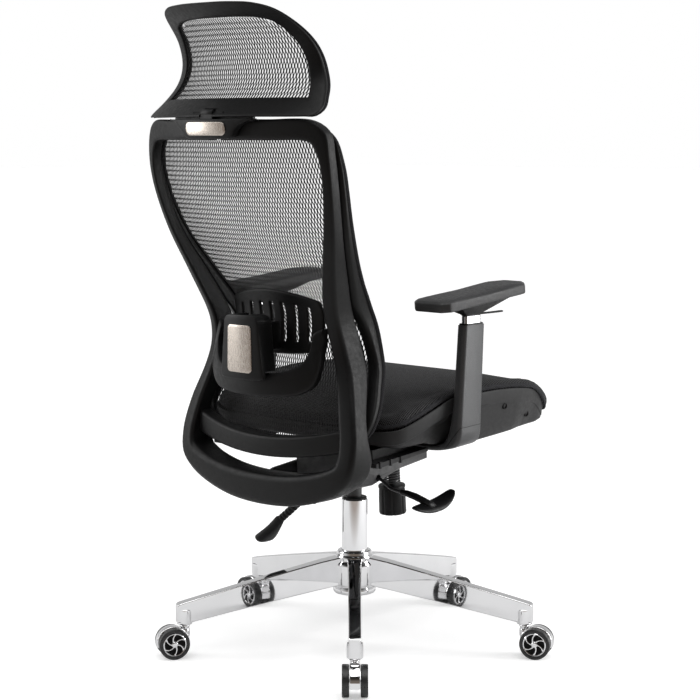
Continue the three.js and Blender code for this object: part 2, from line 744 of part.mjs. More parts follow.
function headrestNeck() {
  const half = [[0, 1000.6], [70, 1000.6], [108, 1000.6], [80, 994], [63, 984], [56, 968], [0, 967]];
  const plate = bentPlate(
    bothSides(half),
    (x, z) => rearFace(z) + bow(x, z) + 3,
    (x, z) => 383 - 0.0014 * x * x - 0.004 * (1000 - z) ** 2,
  );
  const rib = box(-14.6, 14.6, 352.4, 368, 970, 1000.6);
  const lug = cylinderX(6.6, -14.6, 14.6, headTilt.y, headTilt.z, 16);
  const web = box(-14.6, 14.6, 365, 377, 995, headTilt.z);
  const recess = prism('y', roundedRectangle(99, 24, 12), 376, 390).translate(0, 0, 984);
  const pinHole = cylinderX(headTilt.pinRadius + gap, -20, 20, headTilt.y, headTilt.z, 12);
  return cut(join(plate, rib, lug, web), recess, pinHole);
}

function neckInsert() {
  const shape = roundedRectangle(98.4, 23.4, 11.7);
  const insert = prism('y', shape, 376.3, 381.5, { chamfer: 1, curveSegments: 6 });
  return insert.translate(0, 0, 984);
}

function headrestPin() {
  return cylinderX(headTilt.pinRadius, -38, 38, headTilt.y, headTilt.z, 12);
}

// ---------------------------------------------------------------- arms, made for the left side
function mirrorX(geometry) {
  const plain = geometry.clone();
  plain.deleteAttribute('normal');
  plain.deleteAttribute('uv');
  const mirrored = mergeVertices(plain, 1e-3);
  mirrored.scale(-1, 1, 1);
  const index = mirrored.index;
  for (let i = 0; i < index.count; i += 3) {
    const first = index.getX(i);
    index.setX(i, index.getX(i + 2));
    index.setX(i + 2, first);
  }
  mirrored.computeVertexNormals();
  return mirrored;
}

function armUpright() {
  const { inner, outer, top } = arm;
  const profile = [
    [90, 401], [215, 401], [262, 411], [273, 419], [outer + 1, 432], [outer, top], [inner, top],
    [inner, 490], [253, 464], [248, 442], [242, 424], [233, 415.3], [214, 412.5], [90, 412.5],
  ];
  const body = prism('y', profile, -32, 32, { chamfer: 3 });
  const place = body.attributes.position;
  for (let i = 0; i < place.count; i += 1) {
    const rise = Math.max(0, (place.getZ(i) - 412.5) / (top - 412.5));
    const y = place.getY(i) * (1 - 0.125 * rise) + arm.bottomY + (arm.postY - arm.bottomY) * rise;
    place.setY(i, y);
    place.setZ(i, place.getZ(i) - y * Math.tan(seatTilt) * Math.max(0, 1 - 2 * rise));
  }
  const bore = prism('z', roundedRectangle(post.width + 0.8, post.depth + 0.8, 5), 530, top + 9);
  return cut(body, bore.translate(arm.x, arm.postY, 0));
}

function armPost() {
  const shape = roundedRectangle(post.width, post.depth, 4.8);
  return prism('z', shape, post.bottom, post.top).translate(arm.x, arm.postY, 0);
}

const padUnderside = (y) => pad.bottom - (y - pad.y) * Math.tan(padTilt);

function armCarrier() {
  const bottom = post.top + gap;
  const side = [
    [arm.postY + 21, bottom], [arm.postY + 21, bottom + 4], [28, padUnderside(28) - 3],
    [26, padUnderside(26) - 0.6], [-124, padUnderside(-124) - 0.6], [-126, padUnderside(-126) - 5],
    [arm.postY - 40, bottom + 9], [arm.postY - 21, bottom + 4], [arm.postY - 21, bottom],
  ];
  const body = prism('x', side, -26, 26);
  const place = body.attributes.position;
  for (let i = 0; i < place.count; i += 1) {
    const narrow = place.getZ(i) < bottom + 6 ? 0.3 : 1;
    place.setX(i, place.getX(i) * narrow + pad.x + (narrow < 1 ? arm.x - pad.x : 0));
  }
  return body;
}

function armPad() {
  const { length, width, thickness } = pad;
  const [x, y] = [width / 2, length / 2];
  const plan = [
    [-x + 14, y], [x - 14, y], [x, y - 14], [x, -y + 26], [x - 22, -y], [-x + 22, -y],
    [-x, -y + 26], [-x, y - 14],
  ];
  return prism('z', plan, 0, thickness, { chamfer: 4 });
}

function armTrigger() {
  const bottom = post.top + gap;
  return box(arm.x - 6, arm.x + 6, arm.postY - 88, arm.postY - 21 - gap, bottom, bottom + 3.4);
}

function addArm(name, geometryFor) {
  addPiece(chair, `arm_${name}_upright`, geometryFor(armUpright()), 'graphite');
  addPiece(chair, `arm_${name}_post`, geometryFor(armPost()), 'chrome');
  addPiece(chair, `arm_${name}_carrier`, geometryFor(armCarrier()), 'blackPlastic');
  addPiece(chair, `arm_${name}_trigger`, geometryFor(armTrigger()), 'blackPlastic');
  const cushion = addPiece(chair, `arm_${name}_pad`, geometryFor(armPad()), 'softPad');
  cushion.position.set(name === 'left' ? pad.x : -pad.x, pad.y, pad.bottom);
  cushion.rotation.x = -padTilt;
}

// ---------------------------------------------------------------- assembly
addPiece(chair, 'base_star', baseStar(), 'chrome');
addPiece(chair, 'column_tube', columnTube(), 'chrome');
addPiece(chair, 'column_bushing', columnBushing(), 'blackPlastic');
addPiece(chair, 'gas_rod', cylinderZ(gasRod.radius, gasRod.bottom, gasRod.top, 24), 'blackSteel');
legAngles.forEach((angle, i) => addCastor(i + 1, angle));

addPiece(seat, 'mechanism_housing', mechanismHousing(), 'blackSteel');
addPiece(seat, 'mechanism_plate', mechanismPlate(), 'blackSteel');
addPiece(seat, 'tension_spring', tensionSpring(), 'blackSteel');
addPiece(seat, 'tension_knob', tensionKnob(), 'blackPlastic');
addPiece(seat, 'seat_shell', seatShell(), 'charcoal');
addPiece(seat, 'seat_cushion', seatCushion(), 'fabric');
chair.add(seat);
addPiece(chair, 'lift_lever_rod', liftRod(), 'blackSteel');
addPiece(chair, 'lift_lever_paddle', liftPaddle(), 'blackPlastic');
addPiece(chair, 'tilt_lever_rod', tiltRod(), 'blackPlastic');
addPiece(chair, 'tilt_lever_handle', tiltHandle(), 'blackPlastic');
addPiece(chair, 'recline_pin', reclinePin(), 'steel');

addPiece(chair, 'back_carrier', backCarrier(), 'blackSteel');
addPiece(chair, 'rear_frame', rearFrame(), 'blackPlastic');
addPiece(chair, 'mesh_frame', meshFrame(), 'blackPlastic');
addPiece(chair, 'back_crossbar', crossbar(), 'blackPlastic');
addPiece(chair, 'back_mesh', backMesh(), 'mesh');
addPiece(chair, 'lumbar_bracket', lumbarBracket(), 'blackPlastic');
addPiece(chair, 'lumbar_slider', lumbarSlider(), 'blackPlastic');
addPiece(chair, 'lumbar_insert', lumbarInsert(), 'champagne');
addPiece(chair, 'lumbar_pad', lumbarPad(), 'blackPlastic');
addPiece(chair, 'headrest_neck', headrestNeck(), 'blackPlastic');
addPiece(chair, 'neck_insert', neckInsert(), 'champagne');
addPiece(chair, 'headrest_pin', headrestPin(), 'steel');
addPiece(chair, 'headrest_frame', headrestFrame(), 'blackPlastic');
addPiece(chair, 'headrest_mesh', headrestMesh(), 'mesh');

addArm('left', (geometry) => geometry);
addArm('right', mirrorX);

chair.position.x = originShiftX;
export default chair;
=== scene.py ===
import math

import bmesh
import bpy
import numpy as np
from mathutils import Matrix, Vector


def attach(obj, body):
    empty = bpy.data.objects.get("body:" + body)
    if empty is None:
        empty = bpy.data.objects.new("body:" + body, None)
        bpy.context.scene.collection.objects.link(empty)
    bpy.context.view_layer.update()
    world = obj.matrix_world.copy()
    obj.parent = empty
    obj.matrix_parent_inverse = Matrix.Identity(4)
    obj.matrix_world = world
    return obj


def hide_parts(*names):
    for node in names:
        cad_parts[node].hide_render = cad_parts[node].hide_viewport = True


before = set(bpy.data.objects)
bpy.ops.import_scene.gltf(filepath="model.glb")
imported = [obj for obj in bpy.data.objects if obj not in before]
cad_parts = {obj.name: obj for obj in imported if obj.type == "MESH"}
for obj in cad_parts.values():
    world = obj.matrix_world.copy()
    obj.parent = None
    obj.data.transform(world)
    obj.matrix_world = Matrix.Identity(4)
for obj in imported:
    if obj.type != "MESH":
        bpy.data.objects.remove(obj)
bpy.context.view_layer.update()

MM = 0.001
COLUMN_X = -12.0  # the column's axis in the shared frame
SEAT_TILT = math.radians(3.7)
SEAT_HEIGHT = 400.7
TAU = 2 * math.pi


# ---------------------------------------------------------------- curves and loops
def curve_through(rows):
    """A function that follows the rows (t, value) smoothly; it takes numbers or arrays."""
    t, v = np.array(rows, float).T
    slope = np.empty_like(v)
    slope[1:-1] = (v[2:] - v[:-2]) / (t[2:] - t[:-2])
    slope[0] = (v[1] - v[0]) / (t[1] - t[0])
    slope[-1] = (v[-1] - v[-2]) / (t[-1] - t[-2])

    def at(x):
        x = np.clip(x, t[0], t[-1])
        i = np.clip(np.searchsorted(t, x) - 1, 0, len(t) - 2)
        span = t[i + 1] - t[i]
        u = (x - t[i]) / span
        a, b, rise = slope[i] * span, slope[i + 1] * span, v[i + 1] - v[i]
        return v[i] + u * (a + u * (3 * rise - 2 * a - b + u * (a + b - 2 * rise)))

    return at


def both_sides(half):
    """A closed outline from its right half, which runs from the middle round to the middle."""
    return half + [(-x, z) for x, z in half[-2:0:-1]]


def catmull(points, per_span, closed=True):
    """Points on a centripetal Catmull-Rom curve, per_span to each span."""
    p = np.array(points, float)
    n = len(p)
    spans = n if closed else n - 1
    if closed:
        ext = np.vstack([p[-1], p, p[:2]])
    else:
        ext = np.vstack([2 * p[0] - p[1], p, 2 * p[-1] - p[-2]])
    out = []
    for i in range(spans):
        p0, p1, p2, p3 = ext[i:i + 4]
        t0 = 0.0
        t1 = t0 + max(np.linalg.norm(p1 - p0), 1e-6) ** 0.5
        t2 = t1 + max(np.linalg.norm(p2 - p1), 1e-6) ** 0.5
        t3 = t2 + max(np.linalg.norm(p3 - p2), 1e-6) ** 0.5
        t = (t1 + (t2 - t1) * np.arange(per_span) / per_span)[:, None]
        a1 = (t1 - t) / (t1 - t0) * p0 + (t - t0) / (t1 - t0) * p1
        a2 = (t2 - t) / (t2 - t1) * p1 + (t - t1) / (t2 - t1) * p2
        a3 = (t3 - t) / (t3 - t2) * p2 + (t - t2) / (t3 - t2) * p3
        b1 = (t2 - t) / (t2 - t0) * a1 + (t - t0) / (t2 - t0) * a2
        b2 = (t3 - t) / (t3 - t1) * a2 + (t - t1) / (t3 - t1) * a3
        out.append((t2 - t) / (t2 - t1) * b1 + (t - t1) / (t2 - t1) * b2)
    if not closed:
        out.append(p[-1:])
    return np.vstack(out)


def spaced(points, count, closed=True):
    """The same line with count points at equal steps along it."""
    p = np.vstack([points, points[:1]]) if closed else np.array(points, float)
    along = np.concatenate([[0], np.cumsum(np.linalg.norm(np.diff(p, axis=0), axis=1))])
    ask = np.linspace(0, along[-1], count, endpoint=not closed)
    return np.stack([np.interp(ask, along, p[:, k]) for k in range(p.shape[1])], 1)


def smooth_loop(points, count):
    return spaced(catmull(points, 16), count)


def inset(loop, width):
    """Moves each point of a clockwise loop inwards by width, a number or an array."""
    step = np.roll(loop, -1, 0) - np.roll(loop, 1, 0)
    step = step / np.linalg.norm(step, axis=1)[:, None]
    return loop + np.stack([step[:, 1], -step[:, 0]], 1) * np.reshape(width, (-1, 1))


def relaxed(loop, rounds):
    """Smooths a closed loop a little in each round."""
    for _ in range(rounds):
        loop = (np.roll(loop, 1, 0) + 2 * loop + np.roll(loop, -1, 0)) / 4
    return loop


def section(across, deep, steps=5):
    """A rounded rectangle: share of the width and of the depth, each from 0 to 1. The corners
    take up the given shares of the width and of the depth."""
    points = []
    for u, v, start in ((1 - across, 1 - deep, 0), (across, 1 - deep, 90), (across, deep, 180),
                        (1 - across, deep, 270)):
        for k in range(steps):
            turn = math.radians(start + 90 * k / (steps - 1))
            points.append((u + across * math.cos(turn), v + deep * math.sin(turn)))
    return np.array(points)


def rounded_rectangle(width, height, radius, corner=8):
    """A clockwise rectangle with round corners around the origin, corner steps to each."""
    x, y = width / 2 - radius, height / 2 - radius
    points = []
    for cx, cy, start in ((x, y, 0), (-x, y, 90), (-x, -y, 180), (x, -y, 270)):
        for k in range(corner + 1):
            turn = math.radians(start + 90 * k / corner)
            points.append((cx + radius * math.cos(turn), cy + radius * math.sin(turn)))
    return np.array(points[::-1])


def smooth_border(points, along):
    """A function from one coordinate of the points, 0 or 1, to the other one."""
    order = np.argsort(points[:, along])

    def at(t):
        return np.interp(t, points[order, along], points[order, 1 - along])

    return at


# ---------------------------------------------------------------- meshes
def skin(rows, wrap=False):
    """Vertices and faces of a surface over rows of points; each row is a closed loop. It closes
    on its first row with wrap, and its ends are capped without."""
    rows = np.array(rows, float)
    count, size = rows.shape[0], rows.shape[1]
    verts = rows.reshape(-1, 3)
    faces = []
    for r in range(count if wrap else count - 1):
        here, there = r * size, (r + 1) % count * size
        for i in range(size):
            j = (i + 1) % size
            faces.append((here + i, here + j, there + j, there + i))
    if not wrap:
        ends = [rows[0].mean(0), rows[-1].mean(0)]
        verts = np.vstack([verts, ends])
        for centre, start in ((len(verts) - 2, 0), (len(verts) - 1, (count - 1) * size)):
            faces += [(start + i, start + (i + 1) % size, centre) for i in range(size)]
    return verts, faces


def joined(*parts):
    """Several parts, each (vertices, faces), as one."""
    verts, faces, start = [], [], 0
    for v, f in parts:
        verts.append(v)
        faces += [tuple(start + i for i in face) for face in f]
        start += len(v)
    return np.vstack(verts), faces


def moved(part, function):
    return function(part[0]), part[1]


def shifted(part, x=0.0, y=0.0, z=0.0):
    return part[0] + np.array([x, y, z]), part[1]


def seat_frame(points):
    """From the seat's level frame, z = 0 at the underside of the arm feet, to the chair's."""
    x, y, z = np.asarray(points, float).T
    c, s = math.cos(SEAT_TILT), math.sin(SEAT_TILT)
    return np.stack([x, y * c + z * s, -y * s + z * c + SEAT_HEIGHT], 1)


def turned(points, angle):
    """Turns points around the column's axis by an angle in degrees."""
    x, y, z = np.asarray(points, float).T
    c, s = math.cos(math.radians(angle)), math.sin(math.radians(angle))
    return np.stack([x * c - y * s, x * s + y * c, z], 1)


def lathe(profile, sides=96, wrap=False):
    """Turns (radius, z) points around Z. The profile may start and end on the axis."""
    turn = TAU * np.arange(sides) / sides
    rows = [np.stack([r * np.cos(turn), r * np.sin(turn), np.full(sides, z)], 1) for r, z in profile]
    return skin(rows, wrap)


def sleeve(profile, sides=96):
    """A turned ring whose profile closes on itself."""
    return lathe(profile, sides, wrap=True)


def prism(profile, stations, side=1):
    """A profile in (y, z) drawn out along X through the stations; side -1 mirrors it."""
    return skin([[(side * x, y, z) for y, z in profile] for x in stations])


def tube(points, radius, sides=16, per_span=8):
    """A round bar along a smooth line. radius is a number or one value per point."""
    line = catmull(points, per_span, closed=False)
    ahead = np.gradient(line, axis=0)
    ahead /= np.linalg.norm(ahead, axis=1)[:, None]
    side = np.cross(ahead[0], (0.31, 0.17, 0.93))
    rows = []
    size = np.interp(np.arange(len(line)), np.linspace(0, len(line) - 1, np.size(radius)),
                     np.atleast_1d(radius))
    turn = TAU * np.arange(sides) / sides
    for centre, forward, r in zip(line, ahead, size):
        side = side - forward * side.dot(forward)
        side /= np.linalg.norm(side)
        up = np.cross(forward, side)
        rows.append(centre + r * (np.cos(turn)[:, None] * side + np.sin(turn)[:, None] * up))
    return skin(rows)


def swept(outer, inner, front, rear, shape, wrap):
    """A bent member between two lines in X and Z, with front(x, z) and rear(x, z)."""
    rows = []
    for a, b in zip(outer, inner):
        flat = a + (b - a) * shape[:, :1]
        y0, y1 = front(flat[:, 0], flat[:, 1]), rear(flat[:, 0], flat[:, 1])
        rows.append(np.stack([flat[:, 0], y0 + (y1 - y0) * shape[:, 1], flat[:, 1]], 1))
    return skin(rows, wrap=wrap)


def level(surface):
    """A surface function; a plain number stands for a flat one."""
    if callable(surface):
        return surface
    return lambda a, b: np.full_like(a, surface)


def slab(loop, front, rear, radius, axis="y", rings=5):
    """A plate cut to a loop with rounded edges. Its faces follow front and rear, each a number
    or a function of the loop's two coordinates."""
    front, rear = level(front), level(rear)
    rows = []
    centre = loop.mean(0)

    def row(flat, face, depth):
        rows.append(np.stack([flat[:, 0], face(flat[:, 0], flat[:, 1]) + depth, flat[:, 1]], 1))

    turns = np.linspace(0, math.pi / 2, rings)
    shares = np.linspace(0.1, 0.9, rings)
    for share in shares:
        row(centre + (inset(loop, radius) - centre) * share, front, 0)
    for turn in turns:
        row(inset(loop, radius * (1 - math.sin(turn))), front, radius * (1 - math.cos(turn)))
    for turn in turns[::-1]:
        row(inset(loop, radius * (1 - math.sin(turn))), rear, -radius * (1 - math.cos(turn)))
    for share in shares[::-1]:
        row(centre + (inset(loop, radius) - centre) * share, rear, 0)
    rows = np.array(rows)
    if axis == "z":
        rows = rows[:, :, [0, 2, 1]]
    return skin(rows)


def make(name, part, body, material, slot=None, replaces=(), flat_above=None, crisp=False):
    """A new piece from (vertices in mm, faces). Without a body it still has to be declared. Edges
    that turn by more than flat_above, in degrees, stay sharp; crisp keeps wide faces flat."""
    verts, faces = part
    mesh = bpy.data.meshes.new(name)
    in_row = (np.asarray(verts, float) + np.array([COLUMN_X, 0, 0])) * MM
    mesh.from_pydata(in_row.tolist(), [], [tuple(int(i) for i in f) for f in faces])
    bm = bmesh.new()
    bm.from_mesh(mesh)
    bmesh.ops.remove_doubles(bm, verts=bm.verts, dist=1e-6)
    bmesh.ops.recalc_face_normals(bm, faces=bm.faces)
    bm.to_mesh(mesh)
    bm.free()
    mesh.shade_smooth()
    obj = bpy.data.objects.new(name, mesh)
    bpy.context.scene.collection.objects.link(obj)
    mesh.materials.append(material)
    if flat_above is not None:
        sharpen(obj, flat_above)
    if crisp:
        even = obj.modifiers.new("even", "WEIGHTED_NORMAL")
        even.keep_sharp = True
    if body:
        declare(obj, body, slot, *replaces)
    return obj


def declare(obj, body, slot, *replaced):
    """Hides the CAD nodes that a piece replaces and puts it on its body. Its material slot is not used.
    """
    if replaced:
        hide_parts(*replaced)
    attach(obj, body)


def sharpen(obj, angle):
    """Edges that turn by more than angle, in degrees, stay sharp."""
    mesh = obj.data
    bm = bmesh.new()
    bm.from_mesh(mesh)
    for edge in bm.edges:
        edge.smooth = len(edge.link_faces) == 2 and edge.calc_face_angle(0) < math.radians(angle)
    bm.to_mesh(mesh)
    bm.free()


def refine(node, material, bevel, segments=3):
    """Keeps a CAD node as it is, with soft edges and a real material."""
    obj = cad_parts[node]
    obj.data.materials.clear()
    obj.data.materials.append(material)
    weld = obj.modifiers.new("weld", "WELD")
    weld.merge_threshold = 2e-5
    soft = obj.modifiers.new("soft", "BEVEL")
    soft.width = bevel * MM
    soft.segments = segments
    soft.limit_method = "ANGLE"
    soft.angle_limit = math.radians(25)
    even = obj.modifiers.new("even", "WEIGHTED_NORMAL")
    even.keep_sharp = True
    obj.data.shade_smooth()


# ---------------------------------------------------------------- materials
class Look:
    """A procedural material around one Principled shader."""

    def __init__(self, name, color, roughness, metallic=0.0, **fixed):
        self.material = bpy.data.materials.new(name)
        self.material.use_nodes = True
        self.nodes = self.material.node_tree.nodes
        self.links = self.material.node_tree.links
        self.shader = self.nodes["Principled BSDF"]
        self.color = (*color, 1.0)
        self.shader.inputs["Base Color"].default_value = self.color
        self.shader.inputs["Roughness"].default_value = roughness
        self.shader.inputs["Metallic"].default_value = metallic
        for key, value in fixed.items():
            self.shader.inputs[key].default_value = value
        self.place = self.nodes.new("ShaderNodeTexCoord").outputs["Object"]
        self.normal = None

    def node(self, kind, **settings):
        """A new node; each setting is one of its properties or of its inputs."""
        made = self.nodes.new(kind)
        for key, value in settings.items():
            if hasattr(made, key):
                setattr(made, key, value)
            else:
                made.inputs[key].default_value = value
        return made

    def noise(self, scale, detail=3.0, stretch=None):
        """Soft noise from 0 to 1, stretched by a factor on each axis."""
        source = self.place
        if stretch:
            mapping = self.node("ShaderNodeMapping")
            mapping.inputs["Scale"].default_value = stretch
            self.links.new(source, mapping.inputs["Vector"])
            source = mapping.outputs["Vector"]
        made = self.node("ShaderNodeTexNoise", Scale=scale, Detail=detail)
        self.links.new(source, made.inputs["Vector"])
        return made.outputs["Fac"]

    def math(self, operation, first, second=None):
        """A sum of one or two values, each a number or another node's output."""
        made = self.node("ShaderNodeMath", operation=operation)
        for socket, value in zip(made.inputs, (first, second)):
            if value is None:
                continue
            if isinstance(value, (int, float)):
                socket.default_value = value
            else:
                self.links.new(value, socket)
        return made.outputs[0]

    def ramp(self, source, low, high, start=0.3, end=0.7):
        """Maps a value to the span from low to high."""
        made = self.node("ShaderNodeMapRange")
        made.inputs["From Min"].default_value = start
        made.inputs["From Max"].default_value = end
        made.inputs["To Min"].default_value = low
        made.inputs["To Max"].default_value = high
        self.links.new(source, made.inputs["Value"])
        return made.outputs["Result"]

    def vary_color(self, source, other):
        """Blends the color so far towards another one by source."""
        mix = self.node("ShaderNodeMix", data_type="RGBA")
        color_a = [s for s in mix.inputs if s.name == "A" and s.type == "RGBA"][0]
        color_b = [s for s in mix.inputs if s.name == "B" and s.type == "RGBA"][0]
        color_b.default_value = (*other, 1.0)
        before = self.shader.inputs["Base Color"]
        if before.is_linked:
            self.links.new(before.links[0].from_socket, color_a)
        else:
            color_a.default_value = self.color
        self.links.new(source, mix.inputs["Factor"])
        result = [s for s in mix.outputs if s.type == "RGBA"][0]
        self.links.new(result, before)

    def vary_roughness(self, source, low, high):
        """Spreads the roughness between two values by source."""
        self.links.new(self.ramp(source, low, high), self.shader.inputs["Roughness"])

    def bump(self, source, height, distance=0.001):
        """Adds relief on top of the relief so far; distance is in metres."""
        made = self.node("ShaderNodeBump", Strength=height, Distance=distance)
        self.links.new(source, made.inputs["Height"])
        if self.normal is not None:
            self.links.new(self.normal, made.inputs["Normal"])
        self.normal = made.outputs["Normal"]
        self.links.new(self.normal, self.shader.inputs["Normal"])

    def edge_wear(self, other, strength=0.5):
        """A lighter tone where edges stick out."""
        point = self.node("ShaderNodeNewGeometry").outputs["Pointiness"]
        worn = self.ramp(point, 0.0, strength, 0.52, 0.6)
        self.vary_color(self.math("MULTIPLY", worn, self.ramp(self.noise(60), 0.4, 1.0)), other)


def moulded(name, color, roughness, grain=1500.0, height=0.2, worn=(0.05, 0.05, 0.052)):
    """Moulded plastic: fine spark-eroded grain, soft flow variation, lighter worn edges."""
    look = Look(name, color, roughness, **{"Specular IOR Level": 0.2})
    look.vary_color(look.ramp(look.noise(9.0), 0.0, 0.5), tuple(c * 1.5 for c in color))
    look.edge_wear(worn, 0.35)
    look.vary_roughness(look.noise(140.0, 4.0), roughness - 0.06, roughness + 0.08)
    look.bump(look.noise(grain, 2.0), height, 0.0004)
    return look.material


def plated(name, color, roughness):
    """Bright plating over a polished casting, with a faint waviness and fine haze."""
    look = Look(name, color, roughness, 1.0)
    look.vary_color(look.ramp(look.noise(14.0), 0.0, 0.35), tuple(c * 0.82 for c in color))
    look.vary_roughness(look.noise(45.0, 5.0), roughness * 0.6, roughness * 1.8)
    look.bump(look.noise(22.0, 1.0), 0.04, 0.0006)
    return look.material


def powder_coat(name, color, roughness):
    """Powder-coated steel: a fine orange-peel skin, worn brighter along its edges."""
    look = Look(name, color, roughness)
    look.vary_color(look.ramp(look.noise(30.0), 0.0, 0.6), tuple(c * 1.6 for c in color))
    look.edge_wear((0.2, 0.2, 0.2), 0.4)
    look.vary_roughness(look.noise(300.0), roughness - 0.08, roughness + 0.1)
    look.bump(look.noise(900.0, 3.0), 0.35, 0.0004)
    return look.material


def flecked(name, color, fleck, roughness):
    """Satin paint with a very fine metallic fleck."""
    look = Look(name, color, roughness, 0.2)
    grain = look.node("ShaderNodeTexVoronoi", Scale=2600.0)
    look.links.new(look.place, grain.inputs["Vector"])
    tone = look.node("ShaderNodeSeparateColor")
    look.links.new(grain.outputs["Color"], tone.inputs["Color"])
    look.vary_color(look.ramp(tone.outputs[0], 0.0, 0.45, 0.6, 1.0), fleck)
    look.vary_color(look.ramp(look.noise(8.0), 0.0, 0.25), tuple(c * 1.4 for c in color))
    look.vary_roughness(look.noise(200.0), roughness - 0.04, roughness + 0.06)
    look.bump(look.noise(2400.0, 2.0), 0.12, 0.0002)
    return look.material


def brushed(name, color, roughness, along=(1.0, 1.0, 40.0)):
    """Brushed metal, with fine lines across the direction that along stretches."""
    look = Look(name, color, roughness, 1.0)
    look.vary_color(look.ramp(look.noise(60.0, 3.0), 0.0, 0.3), tuple(c * 0.8 for c in color))
    look.vary_roughness(look.noise(120.0, 4.0, along), roughness - 0.06, roughness + 0.1)
    look.bump(look.noise(400.0, 2.0, along), 0.06, 0.0003)
    return look.material


def tyre_rubber(name):
    """Smooth dark rubber with dusty patches."""
    look = Look(name, (0.012, 0.012, 0.013), 0.3)
    look.vary_color(look.ramp(look.noise(50.0), 0.0, 0.7), (0.03, 0.03, 0.03))
    look.vary_roughness(look.noise(120.0, 5.0), 0.22, 0.45)
    look.bump(look.noise(700.0), 0.1, 0.0004)
    return look.material


def yarn(name, color, light):
    """Twisted polyester threads: fine ribs along the strand with a soft sheen."""
    look = Look(name, color, 0.75, **{"Sheen Weight": 0.08, "Sheen Roughness": 0.5})
    twist = look.node("ShaderNodeTexWave", Scale=620.0, Distortion=2.5)
    twist.bands_direction = "DIAGONAL"
    look.links.new(look.place, twist.inputs["Vector"])
    look.vary_color(look.ramp(twist.outputs["Fac"], 0.0, 0.6, 0.2, 0.9), light)
    look.vary_roughness(look.noise(300.0), 0.65, 0.85)
    look.bump(twist.outputs["Fac"], 0.5, 0.0005)
    return look.material


def knitted(name, color, light, cell=(4.2, 5.2), depth=0.9, fleck=(0.05, 0.045, 0.05)):
    """Spacer fabric: rows of small oval holes between raised knitted ribs."""
    look = Look(name, color, 0.85, **{"Sheen Weight": 0.03, "Specular IOR Level": 0.15})
    split = look.node("ShaderNodeSeparateXYZ")
    look.links.new(look.place, split.inputs[0])
    wide = look.math("ADD", split.outputs[0], look.math("MULTIPLY", split.outputs[2], 0.9))
    across = look.math("MULTIPLY", wide, 1000.0 / cell[0])
    length = look.math("SUBTRACT", split.outputs[1], look.math("MULTIPLY", split.outputs[2], 0.75))
    along = look.math("MULTIPLY", length, 1000.0 / cell[1])
    row = look.math("FLOOR", along)
    shift = look.math("MULTIPLY", look.math("MODULO", row, 2.0), 0.5)
    u = look.math("SUBTRACT", look.math("FRACT", look.math("ADD", across, shift)), 0.5)
    v = look.math("SUBTRACT", look.math("FRACT", along), 0.5)
    u = look.math("ADD", u, look.math("MULTIPLY", v, 0.25))
    far = look.math("ADD", look.math("MULTIPLY", look.math("MULTIPLY", u, u), 9.0),
                    look.math("MULTIPLY", look.math("MULTIPLY", v, v), 4.2))
    rib = look.ramp(far, 0.0, 1.0, 0.75, 1.35)
    look.vary_color(rib, light)
    look.vary_color(look.ramp(look.noise(900.0, 2.0), 0.0, 0.6, 0.55, 0.75), fleck)
    look.vary_roughness(look.noise(240.0), 0.72, 0.9)
    look.bump(rib, depth, 0.0012)
    look.bump(look.noise(2200.0, 2.0), 0.4, 0.0004)
    return look.material


def soft_skin(name, color):
    """Moulded foam skin of the arm pads: a low leather-like grain."""
    look = Look(name, color, 0.5)
    grain = look.node("ShaderNodeTexVoronoi", Scale=900.0)
    look.links.new(look.place, grain.inputs["Vector"])
    look.vary_color(look.ramp(look.noise(16.0), 0.0, 0.5), tuple(c * 1.5 for c in color))
    look.edge_wear((0.1, 0.1, 0.1), 0.25)
    look.vary_roughness(look.noise(160.0, 4.0), 0.42, 0.6)
    look.bump(grain.outputs["Distance"], 0.35, 0.0004)
    return look.material


BLACK_PLASTIC = moulded("black_plastic", (0.0045, 0.0045, 0.0047), 0.42)
SATIN_PLASTIC = moulded("satin_plastic", (0.0055, 0.0055, 0.0058), 0.34, grain=1900.0, height=0.12)
CHARCOAL_PLASTIC = moulded("charcoal_plastic", (0.023, 0.023, 0.0235), 0.5)
CHROME = plated("chrome", (0.86, 0.86, 0.87), 0.028)
POST_CHROME = plated("post_chrome", (0.55, 0.55, 0.56), 0.12)
STEEL = brushed("steel", (0.5, 0.51, 0.53), 0.3)
BLACK_STEEL = powder_coat("black_steel", (0.009, 0.009, 0.01), 0.42)
CHAMPAGNE = brushed("champagne", (0.53, 0.475, 0.425), 0.24, (6.0, 1.0, 1.0))
GRAPHITE = flecked("graphite", (0.042, 0.043, 0.045), (0.11, 0.11, 0.113), 0.36)
TYRE = tyre_rubber("tyre")
MESH_YARN = yarn("mesh_yarn", (0.006, 0.006, 0.0065), (0.022, 0.022, 0.023))
EDGE_FABRIC = knitted("edge_fabric", (0.005, 0.005, 0.006), (0.03, 0.03, 0.033), (2.6, 3.0), 0.9)
SEAT_FABRIC = knitted("seat_fabric", (0.0012, 0.0012, 0.0014), (0.06, 0.06, 0.062), (4.0, 4.6))
WELT_FABRIC = knitted("welt_fabric", (0.003, 0.003, 0.004), (0.05, 0.05, 0.055), (2.2, 2.6), 1.0,
                      (0.12, 0.12, 0.13))
SOFT_SKIN = soft_skin("soft_skin", (0.016, 0.016, 0.017))
# Near-black matte: the dark seam joint on the arms, and painted shade on the headrest pin, the shell's
# screws and the castor webs between the spokes.
PAINTED_SHADE_AND_JOINT_BLACK = moulded("painted_shade_and_joint_black", (0.003, 0.003, 0.003), 0.7)


# ---------------------------------------------------------------- star base
LEG_ANGLES = (133, 205, 277, 349, 61)
STEM_REACH = 335.0
HUB_PROFILE = [
    (24.9, 98), (36, 98), (39, 99), (41, 102), (41, 109), (38.5, 112), (38.5, 115), (41, 118),
    (41, 154), (40.4, 157), (38, 160), (36, 162), (35.4, 165), (36.4, 167.5), (36.4, 170.5),
    (34.5, 173), (33.2, 175), (33.2, 178.5), (32, 181), (30, 182), (25.4, 182),
]


